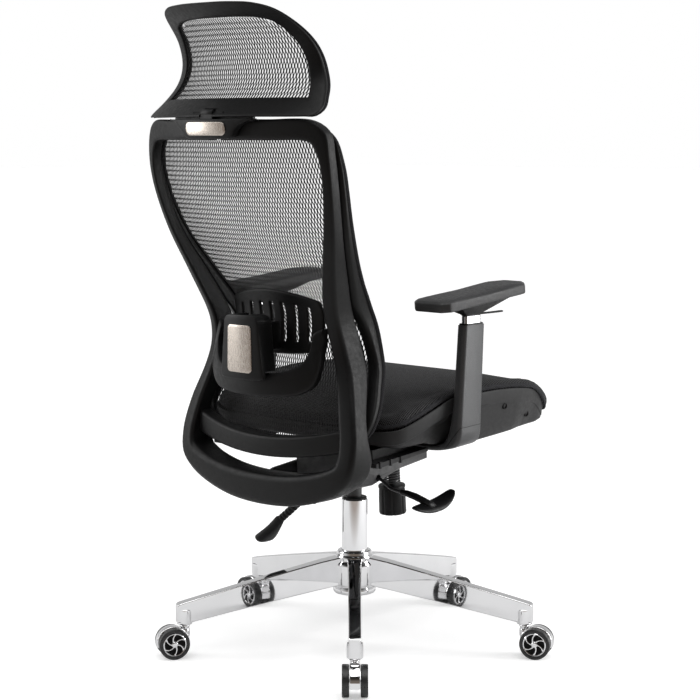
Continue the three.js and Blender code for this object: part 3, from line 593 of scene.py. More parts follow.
def leg_rows():
    """Cross-sections of one leg along +X: flat mirror sides, a crowned top, rounded edges."""
    top = curve_through([(24, 171), (60, 165.5), (130, 151), (240, 127), (345, 103), (350, 101)])
    low = curve_through([(24, 116), (60, 111), (150, 96), (250, 79), (305, 69), (322, 66), (350, 66)])
    half = curve_through([(24, 15), (60, 13.2), (150, 11.8), (300, 11.2), (350, 11.2)])
    rows = []
    for x in (24, 40, 70, 110, 160, 210, 260, 300, 325, 340, 346, 348.8, 350):
        end = max(0.0, (x - 344) / 6)
        w, t, b = float(half(x)) - 1.6 * end ** 2, float(top(x)) - 1.5 * end ** 2, float(low(x))
        side = [(w, b + 2.2), (w, t - 2.0), (w - 0.25, t - 1.0), (w - 1.0, t - 0.25), (w - 2.0, t)]
        under = [(-w + 2.0, b), (w - 2.0, b)]
        ring = side + [(-y, z) for y, z in side[::-1]] + under
        rows.append([(x, y, z) for y, z in ring])
    return rows


def make_base():
    """The star with its hub, the column tube pressed into it, the bushing and the gas rod."""
    leg = skin(leg_rows())
    boss = lathe([(0, 62), (12.5, 62), (14, 63), (14.6, 65), (14.6, 84), (14, 90), (0, 96)], 48)
    arm = joined(leg, shifted(boss, x=STEM_REACH))
    legs = [(turned(arm[0], angle), arm[1]) for angle in LEG_ANGLES]
    make("base_star_chrome", joined(sleeve(HUB_PROFILE), *legs), "base", CHROME, "chrome",
         ["base_star"], flat_above=40, crisp=True)
    column = [(21, 96), (24.6, 96), (25, 96.6), (25, 279.6), (24.5, 280.6), (23.8, 281), (21, 281)]
    make("column_tube_chrome", sleeve(column), "base", CHROME, "chrome", ["column_tube"],
         flat_above=40, crisp=True)
    bush = [(14.4, 221), (20.7, 221), (20.7, 281.3), (23.2, 281.3), (23.6, 282), (23.4, 284.4),
            (22.4, 285.2), (15.4, 285.2), (14.4, 284.4)]
    make("column_bushing_plastic", sleeve(bush), "base", BLACK_PLASTIC, "black_plastic",
         ["column_bushing"], flat_above=40)
    rod = [(0, 112), (13, 112), (14, 113), (14, 333), (13, 334), (0, 334)]
    make("gas_rod_steel", lathe(rod), "gas_lift", BLACK_STEEL, "black_steel", ["gas_rod"],
         flat_above=40)


# ---------------------------------------------------------------- castors, along their own +X
WHEEL_R = 29.0
TRAIL = 24.0  # from the stem's axis to the wheels' axle
HALF_HOOD = 9.5
WHEEL_IN = HALF_HOOD + 0.5
HOOD_REACH = 31.2


def hood():
    """The plated body: a rounded fender over the axle, a collar and the stem."""
    turn = np.radians(np.linspace(-12, 192, 52))
    arc = HOOD_REACH * np.stack([np.cos(turn), np.sin(turn)], 1)
    low_edge = [(-HOOD_REACH * 0.55, -11), (HOOD_REACH * 0.55, -11)]
    loop = np.vstack([arc, low_edge])[::-1]
    plate = slab(loop, -HALF_HOOD, HALF_HOOD, 1.6)
    collar = [(0, 38), (8.5, 38), (9.2, 42), (9.2, 53), (8.6, 54), (7.4, 54.5), (7.4, 56),
              (9, 56.6), (9.3, 58), (9.3, 60.4), (8.8, 61.2), (5.5, 61.4), (5.5, 92), (0, 92)]
    return joined(shifted(plate, x=TRAIL, z=WHEEL_R), lathe(collar, 40))


def around_axle(part, side):
    """From an axis along Z at the origin to the axle of a castor wheel; outwards is +Z."""
    verts, faces = part
    x, y, z = verts.T
    return np.stack([x + TRAIL, side * (z + WHEEL_IN), y * side + WHEEL_R], 1), faces


def tyre():
    """The tread's ring, in a wheel's own frame."""
    profile = [
        (20.6, 0.6), (27.2, 0.0), (28.3, 0.5), (28.9, 1.6), (29, 3.2), (29, 9.8), (28.9, 11.4),
        (28.3, 12.5), (27.2, 13.0), (23.6, 13.0), (22.6, 12.6), (22.2, 11.6), (20.6, 11.2),
    ]
    return sleeve(profile, 72)


def wheel_cap():
    """A plated rim with six swirled spokes around a small hub, in front of a dark web."""
    rim = sleeve([(19.2, 9.4), (22, 9.4), (22.3, 10.6), (22, 12.3), (21, 12.9), (19.8, 12.5),
                  (19.2, 11.4)], 72)
    hub = lathe([(0, 9.4), (5.6, 9.4), (5.8, 11.6), (5.0, 12.6), (3.2, 13.0), (0, 13.0)], 36)
    spokes = []
    for k in range(6):
        rows = []
        for step in np.linspace(0, 1, 9):
            r = 4.6 + 15.6 * step
            turn = TAU * k / 6 + 0.62 * step ** 1.2
            width = 1.75 - 0.5 * math.sin(math.pi * step) + 0.9 * step ** 4
            c, s = math.cos(turn), math.sin(turn)
            ring = []
            for across, deep in section(0.35, 0.35, 3):
                w = (across - 0.5) * 2 * width
                ring.append((r * c - w * s, r * s + w * c, 9.6 + 2.9 * deep))
            rows.append(ring)
        spokes.append(skin(rows))
    return joined(rim, hub, *spokes)


def wheel_web():
    """The dished disc behind the spokes: black like the wheel's body, and darker still as painted shade
    between the spokes.
    """
    profile = [(3.4, 2.0), (20.4, 2.0), (20.4, 8.6), (19, 9.2), (12, 8.2), (6, 8.8), (3.4, 9.0)]
    return sleeve(profile, 48)


def place_castor(part, angle):
    """Puts a castor's part under the end of the leg at this angle."""
    verts, faces = shifted(part, x=STEM_REACH)
    return turned(verts, angle), faces


def make_castors():
    """Five castors, each with its hood and axle and two wheels of three parts."""
    for number, angle in enumerate(LEG_ANGLES, 1):
        body = f"castor_{number}"
        make(f"{body}_hood", place_castor(hood(), angle), body, CHROME, "chrome",
             [f"{body}_body"], flat_above=35)
        refine(f"{body}_axle", STEEL, 0.3, 2)
        for hand, side in (("a", 1), ("b", -1)):
            wheel = f"wheel_{number}_{hand}"
            parts = (("tyre", tyre(), TYRE, "tyre"), ("cap", wheel_cap(), CHROME, "chrome"),
                     ("web", wheel_web(), PAINTED_SHADE_AND_JOINT_BLACK, "tyre"))
            for word, shape, look, slot in parts:
                replaced = [f"{body}_wheel_{hand}"] if word == "tyre" else ()
                make(f"{wheel}_{word}", place_castor(around_axle(shape, side), angle), wheel, look,
                     slot, replaced, flat_above=40)


# ---------------------------------------------------------------- mechanism and levers
KNOB_Y = -100  # the tension knob's and its spring's axis, in the seat's frame


def coil():
    """The tension spring, in the seat's frame."""
    turns, radius, wire = 7.5, 15.5, 2.1
    low, high = -110.5, -73.0
    t = np.linspace(0, 1, 200)
    turn = TAU * turns * t
    line = np.stack([radius * np.cos(turn), radius * np.sin(turn) + KNOB_Y, low + (high - low) * t], 1)
    return tube(line, wire, 10, 2)


def knob():
    """A tapered knob with eight shallow flutes, a stepped collar and a dished end."""
    levels = [(-172, 23), (-171.4, 25.4), (-169, 26.9), (-140, 26.4), (-124, 25.8), (-121.5, 25.4),
              (-121, 24.6), (-119.5, 24.6), (-119, 26.6), (-115.5, 26.6), (-114.2, 25.6), (-114, 23)]
    turn = TAU * np.arange(160) / 160
    flute = 1.5 * np.clip(np.cos(8 * turn) - 0.72, 0, 1) / 0.28
    rows = []
    for z, radius in levels:
        r = radius - flute * (z < -121)
        rows.append(np.stack([r * np.cos(turn), r * np.sin(turn) + KNOB_Y, np.full(160, z)], 1))
    stem = shifted(lathe([(0, -115), (6, -115), (6, -52), (0, -52)], 32), y=KNOB_Y)
    return joined(skin(rows), stem)


PADDLE_X, PADDLE_Y, PADDLE_Z = -176, -27, 285
PADDLE_TWIST = math.radians(28)


def paddle():
    """A crescent that rises at both ends, with a grip that hooks over the rod."""
    rows = []
    turn = TAU * np.arange(28) / 28
    for along in np.linspace(-54, 54, 37):
        full = max(0.0, 1 - (along / 55) ** 2) ** 0.5
        broad = 11.5 + 3.5 * max(0.0, -along / 54)
        rise = 0.0023 * (along - 18) ** 2 + 4e-7 * (along - 18) ** 4
        twist = PADDLE_TWIST * full
        across, up = (4.5 + broad * full) * np.cos(turn), (1.8 + 4.0 * full) * np.sin(turn)
        x = PADDLE_X + across * math.cos(twist) - up * math.sin(twist)
        z = PADDLE_Z + rise + across * math.sin(twist) + up * math.cos(twist)
        rows.append(np.stack([x, np.full(28, along + PADDLE_Y), z], 1))
    grip = []
    for x, y, z, w, h in ((-184, -18, 288, 9, 3.4), (-178, -16, 291, 10, 5), (-166, -11, 296.5, 9.6, 6),
                          (-150, -5, 303.5, 8.8, 6.4), (-134, -1.5, 307.4, 7.2, 6),
                          (-121, 0, 308.6, 5.6, 5.4), (-118.6, 0, 308.8, 4.6, 4.4)):
        grip.append(np.stack([np.full(28, x), y + w * np.cos(turn), z + h * np.sin(turn)], 1))
    return joined(skin(rows), skin(grip))


TILT_Y = 60  # the tilt lever's place along the chair


def ribbed_sleeve():
    """The soft sleeve of the tilt lever, with rings along it."""
    line = [(x, TILT_Y, z) for x, z in ((50, 306), (70, 288), (96, 265), (149, 223))]
    count, rings = 73, 13
    path = spaced(catmull(line, 12, closed=False), count, closed=False)
    swell = 6.9 + 0.9 * np.sign(np.sin(np.linspace(0, TAU * rings, count)))
    return tube(path, swell, 24, 2)


def handle():
    """The tilt lever's flared grip, wider to its blunt end, with two grooves along it."""
    rows = []
    turn = TAU * np.arange(40) / 40
    for x, z, w, h in ((140, 231, 6, 6.5), (143, 228.5, 8.4, 8.4), (150, 220, 10.5, 9.4),
                       (160, 209, 14.5, 9.8), (170, 199.5, 19.6, 10.4), (180, 191, 23.2, 11),
                       (185.5, 186.8, 24.2, 11), (186.5, 186.0, 23.4, 9.8)):
        y = np.sign(np.cos(turn)) * np.abs(np.cos(turn)) ** 0.7 * w
        groove = 1.7 * np.exp(-((np.abs(y) - w * 0.4) / (w * 0.14)) ** 2) * (x > 150)
        up = np.sign(np.sin(turn)) * np.abs(np.sin(turn)) ** 0.75 * (h - groove * (np.sin(turn) > 0))
        rows.append(np.stack([x + up * 0.7, TILT_Y + y, z + up * 0.71], 1))
    return skin(rows)


def carrier_foot():
    """The foot that bolts the carrier to the front of the rear frame's low band."""
    side = [(174, 309.5), (174, 336), (190, 339), (214, 338), (214, 318), (192, 312)]
    return prism(side, (-76, -75, 75, 76))


def make_mechanism():
    """The tilt mechanism under the seat, its knob and levers, and the back's carrier."""
    refine("mechanism_housing", BLACK_STEEL, 1.6)
    refine("mechanism_plate", BLACK_STEEL, 0.6, 2)
    refine("recline_pin", STEEL, 0.6, 2)
    refine("back_carrier", BLACK_STEEL, 1.2)
    make("back_carrier_foot", carrier_foot(), "back", BLACK_STEEL, "black_steel", flat_above=30)
    make("tension_spring_coil", moved(coil(), seat_frame), "seat", BLACK_STEEL, "black_steel",
         ["tension_spring"])
    make("tension_knob_fluted", moved(knob(), seat_frame), "tension_knob", BLACK_PLASTIC,
         "black_plastic", ["tension_knob"], flat_above=38)
    rod = tube([(-54, 0, 328), (-68, 0, 326), (-94, 0, 312), (-118, 0, 309), (-126, 0, 309)], 3.2)
    make("lift_lever_bent_rod", rod, "lift_lever", BLACK_STEEL, "black_steel", ["lift_lever_rod"],
         flat_above=50)
    make("lift_lever_crescent", paddle(), "lift_lever", SATIN_PLASTIC, "black_plastic",
         ["lift_lever_paddle"])
    make("tilt_lever_sleeve", ribbed_sleeve(), "tilt_lever", BLACK_PLASTIC, "black_plastic",
         ["tilt_lever_rod"], flat_above=50)
    make("tilt_lever_grip", handle(), "tilt_lever", BLACK_PLASTIC, "black_plastic",
         ["tilt_lever_handle"], flat_above=50)


# ---------------------------------------------------------------- seat
SEAT_PLAN = [
    (0, -354), (120, -352), (192, -342), (229, -307), (246, -245), (251, -100), (252, 20),
    (249, 100), (238, 136), (205, 152), (140, 157), (0, 159),
]
NOSE_TUCK = 9.5  # how far the shell's plan keeps behind the cushion's at the front
RIM = curve_through([
    (-346, 12), (-333, 15), (-320, 23), (-305, 37), (-287, 53), (-262, 70), (-205, 84), (-144, 92),
    (-83, 96), (-30, 99), (5, 99), (37, 91), (79, 80), (120, 68), (160, 57),
])
BASE = curve_through([
    (-346, 6), (-333, 3), (-320, 1), (-300, 0), (-250, 0), (-80, 0), (-66, 2),
    (-58, 13), (-50, 15), (26, 15), (34, 17), (44, 22), (60, 23), (160, 24),
])
EDGE_LINE = curve_through([
    (-354, 7), (-345, 8), (-333, 11), (-320, 20), (-305, 36), (-287, 53), (-262, 70), (-205, 84),
    (-144, 92), (-83, 96), (-30, 99), (5, 99), (37, 91), (79, 80), (120, 68), (160, 57),
])
CROWN = curve_through([
    (-354, 34), (-348, 42), (-335, 54), (-322, 63), (-290, 80), (-241, 95), (-150, 111), (-60, 113),
    (40, 107), (110, 98), (140, 90), (160, 80),
])


def seat_loop(count):
    """The seat's plan, in its own frame, with count points."""
    return smooth_loop(both_sides(SEAT_PLAN), count)


def shell_loop(count=200):
    """The shell's plan: the seat's, drawn in at the front where the cover wraps round it."""
    loop = seat_loop(count)
    middle = np.array([0.0, -150.0])
    away = loop - middle
    share = NOSE_TUCK * np.clip((-200 - loop[:, 1]) / 70, 0, 1) / np.linalg.norm(away, axis=1)
    return middle + away * (1 - share)[:, None]


def shell_solid():
    """A moulded tub: a tall flange along the rim, and a narrower pan below it."""
    loop = shell_loop()
    centre = np.array([0.0, -60.0])
    rim, base = RIM(loop[:, 1]), BASE(loop[:, 1])
    tall = np.maximum(rim - base, 3.0)
    band = np.minimum(26.0, 0.7 * tall)
    recess = 2.2 + 10.0 * np.clip((loop[:, 1] + 50) / 60, 0, 1) ** 2
    ledge = rim - band
    rows = []

    def row(amount, height):
        flat = inset(loop, -(amount + np.zeros(len(loop))))
        rows.append(np.column_stack([flat, height]))

    def inner(share, floor):
        flat = centre + (inset(loop, -np.full(len(loop), 36.0)) - centre) * share
        rows.append(np.column_stack([flat, BASE(flat[:, 1]) + floor]))

    for share in (0.05, 0.25, 0.45, 0.6, 0.72, 0.82, 0.9, 0.96):
        inner(share, 0.0)
    foot_in = 25 - 13 * np.clip((-235 - loop[:, 1]) / 60, 0, 1)
    row(foot_in + 8, base)
    row(foot_in + 3, base + 0.012 * tall)
    foot = base + 0.05 * tall
    row(foot_in, foot)
    for share, bulge in ((0.15, 1.5), (0.35, 2.6), (0.6, 2.4), (0.85, 1.0)):
        row(foot_in + (recess + 3 - foot_in) * share - bulge, foot + (ledge - 2.4 - foot) * share)
    row(recess + 3.0, ledge - 2.4)
    row(recess + 2.6, ledge - 1.4)
    for amount, rise in ((4.4, -0.9), (3.5, -0.3), (3.2, 0.8), (2.2, 0.45 * band)):
        row(amount, ledge + rise)
    for amount, drop in ((1.3, 3), (1.5, 1.2), (2.6, 0.2), (3.9, 0.4), (4.8, 1.6)):
        row(amount, rim - drop)
    row(6.5, rim - 0.6 * band)
    row(22, base + tall * 0.3)
    row(36, base + 6.0)
    for share in (0.9, 0.7, 0.3, 0.05):
        inner(share, 6.0)
    return skin(rows)


CUSHION_SLACK = 1.0  # how much smaller the cushion is before the simulation swells it
NOSE_ROLL = 8.0  # how far the cover bulges round the nose


def cushion_form():
    """The cushion: its underside in the shell, its edge along the rim, and its crowned top.
    At the front the edge runs down round the shell's nose."""
    loop = seat_loop(150)
    y = loop[:, 1]
    centre = np.array([0.0, -80.0])
    nose = np.clip((-290 - y) / 40, 0, 1)
    edge = EDGE_LINE(y)
    top = CROWN(y)
    rows = []

    def row(amount, height):
        flat = inset(loop, -(amount + CUSHION_SLACK + np.zeros(len(loop))))
        rows.append(np.column_stack([flat, height]))

    for share in (0.05, 0.4, 0.75, 0.95):
        flat = centre + (inset(loop, -np.full(len(loop), 44.0)) - centre) * share
        rows.append(np.column_stack([flat, np.full(len(loop), 32.0)]))
    row(38, np.full(len(loop), 32.0))
    row(18, edge + 8 * nose - 10 * (1 - nose))
    row(9.5, edge + 2 * nose - 2.5 * (1 - nose))
    low = edge + 1
    for share, amount in ((0.04, 5.0), (0.14, 3.2), (0.35, 2.4), (0.55, 3.6), (0.72, 6.6),
                          (0.85, 11.0), (0.93, 17.0)):
        roll = NOSE_ROLL * nose * math.sin(math.pi * share) ** 0.5
        row(amount - roll, low + (top - low) * share)
    for share in (0.97, 0.9, 0.8, 0.66, 0.5, 0.33, 0.16, 0.04):
        flat = centre + (inset(loop, -np.full(len(loop), 22.0)) - centre) * share
        height = CROWN(flat[:, 1]) * (1 - share ** 5) + (top - 3.0) * share ** 5
        rows.append(np.column_stack([flat, height - 4.0 * (np.abs(flat[:, 0]) / 230) ** 3]))
    return skin(rows)


def inflate(obj, voxel, cap, pressure=4.0):
    """Swells a padded piece as cloth under pressure; no point moves further than cap, in mm."""
    remesh = obj.modifiers.new("even", "REMESH")
    remesh.mode = "VOXEL"
    remesh.voxel_size = voxel
    bake_modifiers(obj)
    start = read_points(obj.data)
    cloth = obj.modifiers.new("swell", "CLOTH")
    settings = cloth.settings
    settings.quality = 5
    settings.use_pressure = True
    settings.uniform_pressure_force = pressure
    settings.effector_weights.gravity = 0
    settings.tension_stiffness = settings.compression_stiffness = 25
    settings.bending_stiffness = 4
    settings.mass = 0.3
    cloth.collision_settings.use_collision = False
    scene = bpy.context.scene
    for step in range(1, 21):
        scene.frame_set(step)
    bake_modifiers(obj)
    scene.frame_set(1)
    end = read_points(obj.data)
    shift = end - start
    far = np.linalg.norm(shift, axis=1)
    shift *= np.minimum(1, cap * MM / np.maximum(far, 1e-9))[:, None]
    obj.data.vertices.foreach_set("co", (start + shift).ravel())
    obj.data.update()


def bake_modifiers(obj):
    """Turns the modifiers' result into the piece's own mesh."""
    graph = bpy.context.evaluated_depsgraph_get()
    graph.update()
    made = bpy.data.meshes.new_from_object(obj.evaluated_get(graph))
    obj.modifiers.clear()
    obj.data = made
    made.shade_smooth()


def read_points(mesh):
    """A mesh's points, in metres."""
    flat = np.empty(len(mesh.vertices) * 3)
    mesh.vertices.foreach_get("co", flat)
    return flat.reshape(-1, 3)


def welt(cushion):
    """The bound edge of the cover: a soft flat band that lies on the cushion along the shell's
    rim and round its nose."""
    loop = seat_loop(260)
    edge = np.column_stack([inset(loop, -np.full(len(loop), 2.0)), EDGE_LINE(loop[:, 1]) + 4.6])
    held = []
    for x, y, z in seat_frame(edge):
        place, normal = cushion.closest_point_on_mesh(Vector((x + COLUMN_X, y, z)) * MM)[1:3]
        place = place + normal * 0.4 * MM
        held.append((place.x / MM - COLUMN_X, place.y / MM, place.z / MM))
    line = relaxed(np.array(held), 3)
    turn = (TAU * np.arange(14) / 14)[:, None]
    rows = []
    for i, point in enumerate(line):
        forward = line[(i + 1) % len(line)] - line[i - 1]
        forward /= np.linalg.norm(forward)
        side = np.cross(forward, (0, 0, 1.0))
        side /= np.linalg.norm(side)
        up = np.cross(side, forward)
        fold = 1 + 0.07 * math.sin(i * 1.3) + 0.05 * math.sin(i * 0.57)
        rows.append(point + fold * (2.5 * np.cos(turn) * side + 4.4 * np.sin(turn) * up))
    return skin(rows, wrap=True)


def shell_screws():
    """Countersunk screws in the shell's flange, two on each side."""
    profile = [(0, -4), (5.6, -4), (6.0, 0.6), (5.4, 1.2), (4.6, 1.0), (3.6, -1.6), (0, -1.8)]
    verts, faces = lathe(profile, 28)
    parts = []
    for side in (-1, 1):
        for x, y, z in ((245.0, -155, 57), (229.5, -239, 26)):
            outwards = np.stack([(verts[:, 2] + x) * side, verts[:, 0] + y, verts[:, 1] + z], 1)
            parts.append((outwards, faces))
    return joined(*parts)


def underside_rails():
    """The moulded bars under the shell's rear, notched along their outer side, and the spacer."""
    bar = [(30, 8), (30, 3), (32, 2), (168, -4), (170, -2), (170, 5)]
    block = [(40, 23), (40, 6), (150, 3), (150, 23)]
    parts = []
    for side in (-1, 1):
        parts.append(prism(bar, (150, 151.5, 209, 210.5), side))
        parts.append(prism(block, (150, 184), side))
        for y in (105, 132, 160):
            notch = [(y - 1.7, 7.5), (y - 1.7, -4.6), (y + 1.7, -4.6), (y + 1.7, 7.5)]
            parts.append(prism(notch, (206, 212.5), side))
    spacer = [(-110, 17), (-110, 2), (-106, 0.5), (66, 0.5), (70, 2), (70, 17)]
    parts.append(prism(spacer, (-70, -69, 69, 70)))
    return joined(*parts)


def make_seat():
    """The moulded shell, and the cushion that the cloth simulation swells, with its welt."""
    make("seat_shell_moulded", moved(shell_solid(), seat_frame), "seat", CHARCOAL_PLASTIC,
         "charcoal_plastic", ["seat_shell"], flat_above=42)
    # The rails are charcoal like the shell, but take the darker black plastic as painted shade under
    # the seat.
    make("seat_shell_rails", moved(underside_rails(), seat_frame), "seat", BLACK_PLASTIC,
         "charcoal_plastic", flat_above=42)
    # The screws are black steel, painted darker and matter still as shade, so they read as dark screw
    # holes.
    make("seat_shell_screws", moved(shell_screws(), seat_frame), "seat", PAINTED_SHADE_AND_JOINT_BLACK, "black_steel",
         flat_above=30)
    cushion = make("seat_cushion_padded", moved(cushion_form(), seat_frame), None, SEAT_FABRIC)
    inflate(cushion, voxel=0.006, cap=4.0)
    smooth = cushion.modifiers.new("smooth", "SMOOTH")
    smooth.iterations = 4
    bake_modifiers(cushion)
    rounder = cushion.modifiers.new("round", "SUBSURF")
    rounder.levels = rounder.render_levels = 1
    declare(cushion, "seat", "seat_fabric", "seat_cushion")
    make("seat_welt", welt(cushion), "seat", WELT_FABRIC, "seat_fabric")


# ---------------------------------------------------------------- back
BACK_OUTLINE = [
    (0, 1000), (120, 1000), (195, 998), (221, 979), (228, 935), (226, 880), (212, 803),
    (188, 727), (168, 650), (172, 600), (190, 543), (211, 480), (222, 425), (216, 378),
    (191, 352), (150, 331), (83, 313), (0, 307),
]
MESH_OUTLINE = [
    (0, 994), (120, 994), (192, 991), (221, 970), (232, 925), (231, 880), (217, 803),
    (193, 727), (174, 650), (178, 600), (196, 543), (214, 485), (210, 452), (190, 432),
    (140, 418), (80, 410), (0, 406),
]
REAR_FACE = curve_through([
    (300, 240), (360, 248), (400, 246), (480, 230), (560, 211), (620, 216), (700, 245),
    (800, 280), (900, 306), (1000, 318),
])
REAR_DEPTH = curve_through([
    (300, 56), (400, 58), (440, 42), (480, 38), (560, 50), (640, 50), (720, 40), (800, 27),
    (900, 23), (1000, 22),
])
MESH_FACE = curve_through([
    (400, 190), (440, 178), (480, 163), (520, 142), (560, 123), (600, 118), (640, 126),
    (680, 151), (720, 181), (800, 231), (880, 262), (1000, 288),
])
MESH_DEPTH = curve_through([
    (400, 22), (560, 22), (620, 30), (680, 42), (740, 40), (800, 24), (1000, 22),
])
MESH_WIDTH = curve_through([(400, 19), (700, 19), (800, 15), (930, 13), (965, 24), (1000, 24)])
REAR_WIDTH = curve_through([
    (300, 60), (350, 46), (400, 36), (500, 32), (600, 28), (690, 24), (800, 19), (930, 17), (985, 34),
    (1000, 36),
])
BOW_TOP, BOW_BOTTOM = 45.0, 18.0
HALF_WIDTH = curve_through([(z, x) for x, z in BACK_OUTLINE[3:13][::-1]])


def bow(x, z):
    """How far the middle of the back stands behind its edges."""
    depth = BOW_BOTTOM + (BOW_TOP - BOW_BOTTOM) * np.clip((z - 420) / 400, 0, 1)
    across = np.minimum(1.1, np.abs(x) / HALF_WIDTH(z))
    return depth * (1 - across ** 2)


def rear_surface(x, z):
    """The rear frame's outer face."""
    return REAR_FACE(z) + bow(x, z)


def member_loops(outline, width, count, calm):
    """A ring's outer loop, and its inner one at width(x, z) from it, smoothed calm times."""
    outer = smooth_loop(both_sides(outline), count)
    inner = relaxed(inset(outer, width(outer[:, 0], outer[:, 1])), calm)
    return outer, inner


def cut_away(obj, low, high):
    """Cuts a box, in mm about the column's axis, out of a piece."""
    side = [(low[1], low[2]), (high[1], low[2]), (high[1], high[2]), (low[1], high[2])]
    tool = make("cutter", prism(side, (low[0], high[0])), None, BLACK_PLASTIC)
    cut = obj.modifiers.new("cut", "BOOLEAN")
    cut.object = tool
    cut.solver = "EXACT"
    bake_modifiers(obj)
    bpy.data.objects.remove(tool)
    sharpen(obj, 50)


def make_rear_frame():
    """The outer frame, with a slot in its top rail for the neck's rib."""
    outer, inner = member_loops(BACK_OUTLINE, lambda x, z: REAR_WIDTH(z), 240, 6)
    part = swept(outer, inner, lambda x, z: rear_surface(x, z) - REAR_DEPTH(z), rear_surface,
                 section(0.26, 0.17, 6), wrap=True)
    ring = make("rear_frame_moulded", part, None, BLACK_PLASTIC)
    cut_away(ring, (-15, 330, 950), (15, 372, 1010))
    declare(ring, "back", "black_plastic", "rear_frame")


def mesh_front(x, z):
    """The mesh frame's front face."""
    return MESH_FACE(z) + bow(x, z)


def mesh_rear(x, z):
    """The mesh frame's rear face, which keeps clear of the rear frame."""
    room = REAR_FACE(z) - REAR_DEPTH(z) - MESH_FACE(z) - 2
    return mesh_front(x, z) + np.minimum(MESH_DEPTH(z), room)


def mesh_frame_loops():
    return member_loops(MESH_OUTLINE, lambda x, z: MESH_WIDTH(z), 240, 5)


def make_mesh_frame():
    """The front frame: a plastic ring, and the mesh's bound edge wrapped round its front."""
    outer, inner = mesh_frame_loops()
    split = 9.0  # how far behind the front the binding ends and the ring begins
    part = swept(outer, inner, lambda x, z: mesh_front(x, z) + split, mesh_rear, section(0.2, 0.25),
                 wrap=True)
    make("mesh_frame_moulded", part, "back", BLACK_PLASTIC, "black_plastic", ["mesh_frame"])
    wrap = swept(inset(outer, -0.6), inner, mesh_front, lambda x, z: mesh_front(x, z) + split + 1.0,
                 section(0.28, 0.42), wrap=True)
    make("mesh_frame_binding", wrap, "back", EDGE_FABRIC, "mesh_fabric")


def crossbar_rear(x, _):
    """The bar's rear face, bowed like the back; it is the same at every height."""
    return 229 + 28 * (1 - (x / 186) ** 2)


def crossbar_front(x, z):
    """The bar's front face, which keeps clear of the mesh."""
    return np.maximum(mesh_front(x, z) + 24, crossbar_rear(x, z) - 34)


def make_crossbar():
    """The bar across the frame under the mesh, which sags to the middle."""
    x = np.linspace(-188, 188, 60)
    low = np.column_stack([x, 397 + 22 * (x / 186) ** 2])
    high = np.column_stack([x, 435 + 25 * (x / 186) ** 2])
    part = swept(high, low, crossbar_front, crossbar_rear, section(0.16, 0.2), wrap=False)
    make("back_crossbar_moulded", part, "back", BLACK_PLASTIC, "black_plastic", ["back_crossbar"],
         flat_above=60)


# ---------------------------------------------------------------- mesh fabric
CELL_W, CELL_H = 5.6, 8.6
STRAND = 1.42  # half the width of the thread band between two holes
LEAN = 0.03  # how far a hole leans sideways for its height
THREAD = 0.5 * MM


def hexagon(half_w, side, tip):
    """A tall six-sided cell around the origin."""
    return [(0, tip), (half_w, side), (half_w, -side), (0, -tip), (-half_w, -side), (-half_w, side)]


def lattice(inside, surface, across, up):
    """An openwork fabric: long six-sided holes in offset rows, on surface(x, z).
    inside(x, z) says where cloth is; across and up are its spans."""
    half_w, side, tip = CELL_W / 2, CELL_H * 0.2, CELL_H * 0.8
    outer = hexagon(half_w, side, tip)
    hole = hexagon(half_w - STRAND, side - 0.2, tip - 0.75)
    verts, faces, known = [], [], {}

    def point(x, z):
        key = (round(x * 4), round(z * 4))
        if key not in known:
            known[key] = len(verts)
            verts.append((x, z))
        return known[key]

    rows = int((up[1] - up[0]) / CELL_H) + 1
    columns = int((across[1] - across[0]) / CELL_W) + 2
    for j in range(rows):
        z = up[0] + (j + 0.5) * CELL_H
        for i in range(columns):
            x = across[0] + (i + 0.5 * (j % 2)) * CELL_W
            if not all(inside(x + a, z + b) for a, b in outer):
                continue
            first = [point(x + a, z + b) for a, b in outer]
            second = [len(verts) + k for k in range(6)]
            verts.extend((x + a + b * LEAN, z + b) for a, b in hole)
            for k in range(6):
                n = (k + 1) % 6
                faces.append((first[k], first[n], second[n], second[k]))
    flat = np.array(verts)
    return np.column_stack([flat[:, 0], surface(flat[:, 0], flat[:, 1]), flat[:, 1]]), faces


def make_cloth(part, name, body, node):
    """A stretched panel of the openwork fabric."""
    cloth = make(name, part, None, MESH_YARN)
    thick = cloth.modifiers.new("thread", "SOLIDIFY")
    thick.thickness = THREAD
    thick.offset = 0
    cloth.data.shade_flat()
    declare(cloth, body, "mesh_fabric", node)


def make_back_mesh():
    """The back's fabric, up to the middle of the mesh frame's members."""
    inner = mesh_frame_loops()[1]
    edge = inset(inner, -7.0)
    low, high = edge[:, 1].min(), edge[:, 1].max()
    side = smooth_border(edge[edge[:, 0] > 0], 1)
    ground = smooth_border(edge[(edge[:, 1] < 470) & (edge[:, 0] >= 0)], 0)

    def inside(x, z):
        return ground(abs(x)) < z < high and abs(x) < side(z)

    def surface(x, z):
        return mesh_front(x, z) + 6.0

    make_cloth(lattice(inside, surface, (-230, 230), (low, high)), "back_mesh_cloth", "back",
               "back_mesh")


# ---------------------------------------------------------------- lumbar support
def lumbar_bulge(x):
    return 285 - 45 * (x / 140) ** 2


def strap_rear(x, z):
    return lumbar_bulge(x) - 0.25 * np.maximum(0, z - 560)


def strap_edge(half):
    """An edge of the strap from its left half, which ends in the middle."""
    line = half + [(-x, z) for x, z in half[-2::-1]]
    return spaced(catmull(line, 12, closed=False), 90, closed=False)


def tipped_guide(v):
    """The guide leans back with the strap's middle."""
    lean = math.radians(20)
    x, y, z = np.asarray(v).T
    return np.stack([x, y * math.cos(lean) + z * math.sin(lean) + 275,
                     -y * math.sin(lean) + z * math.cos(lean) + 590], 1)


def slider_face(x, _):
    return 303 - 0.0022 * x ** 2


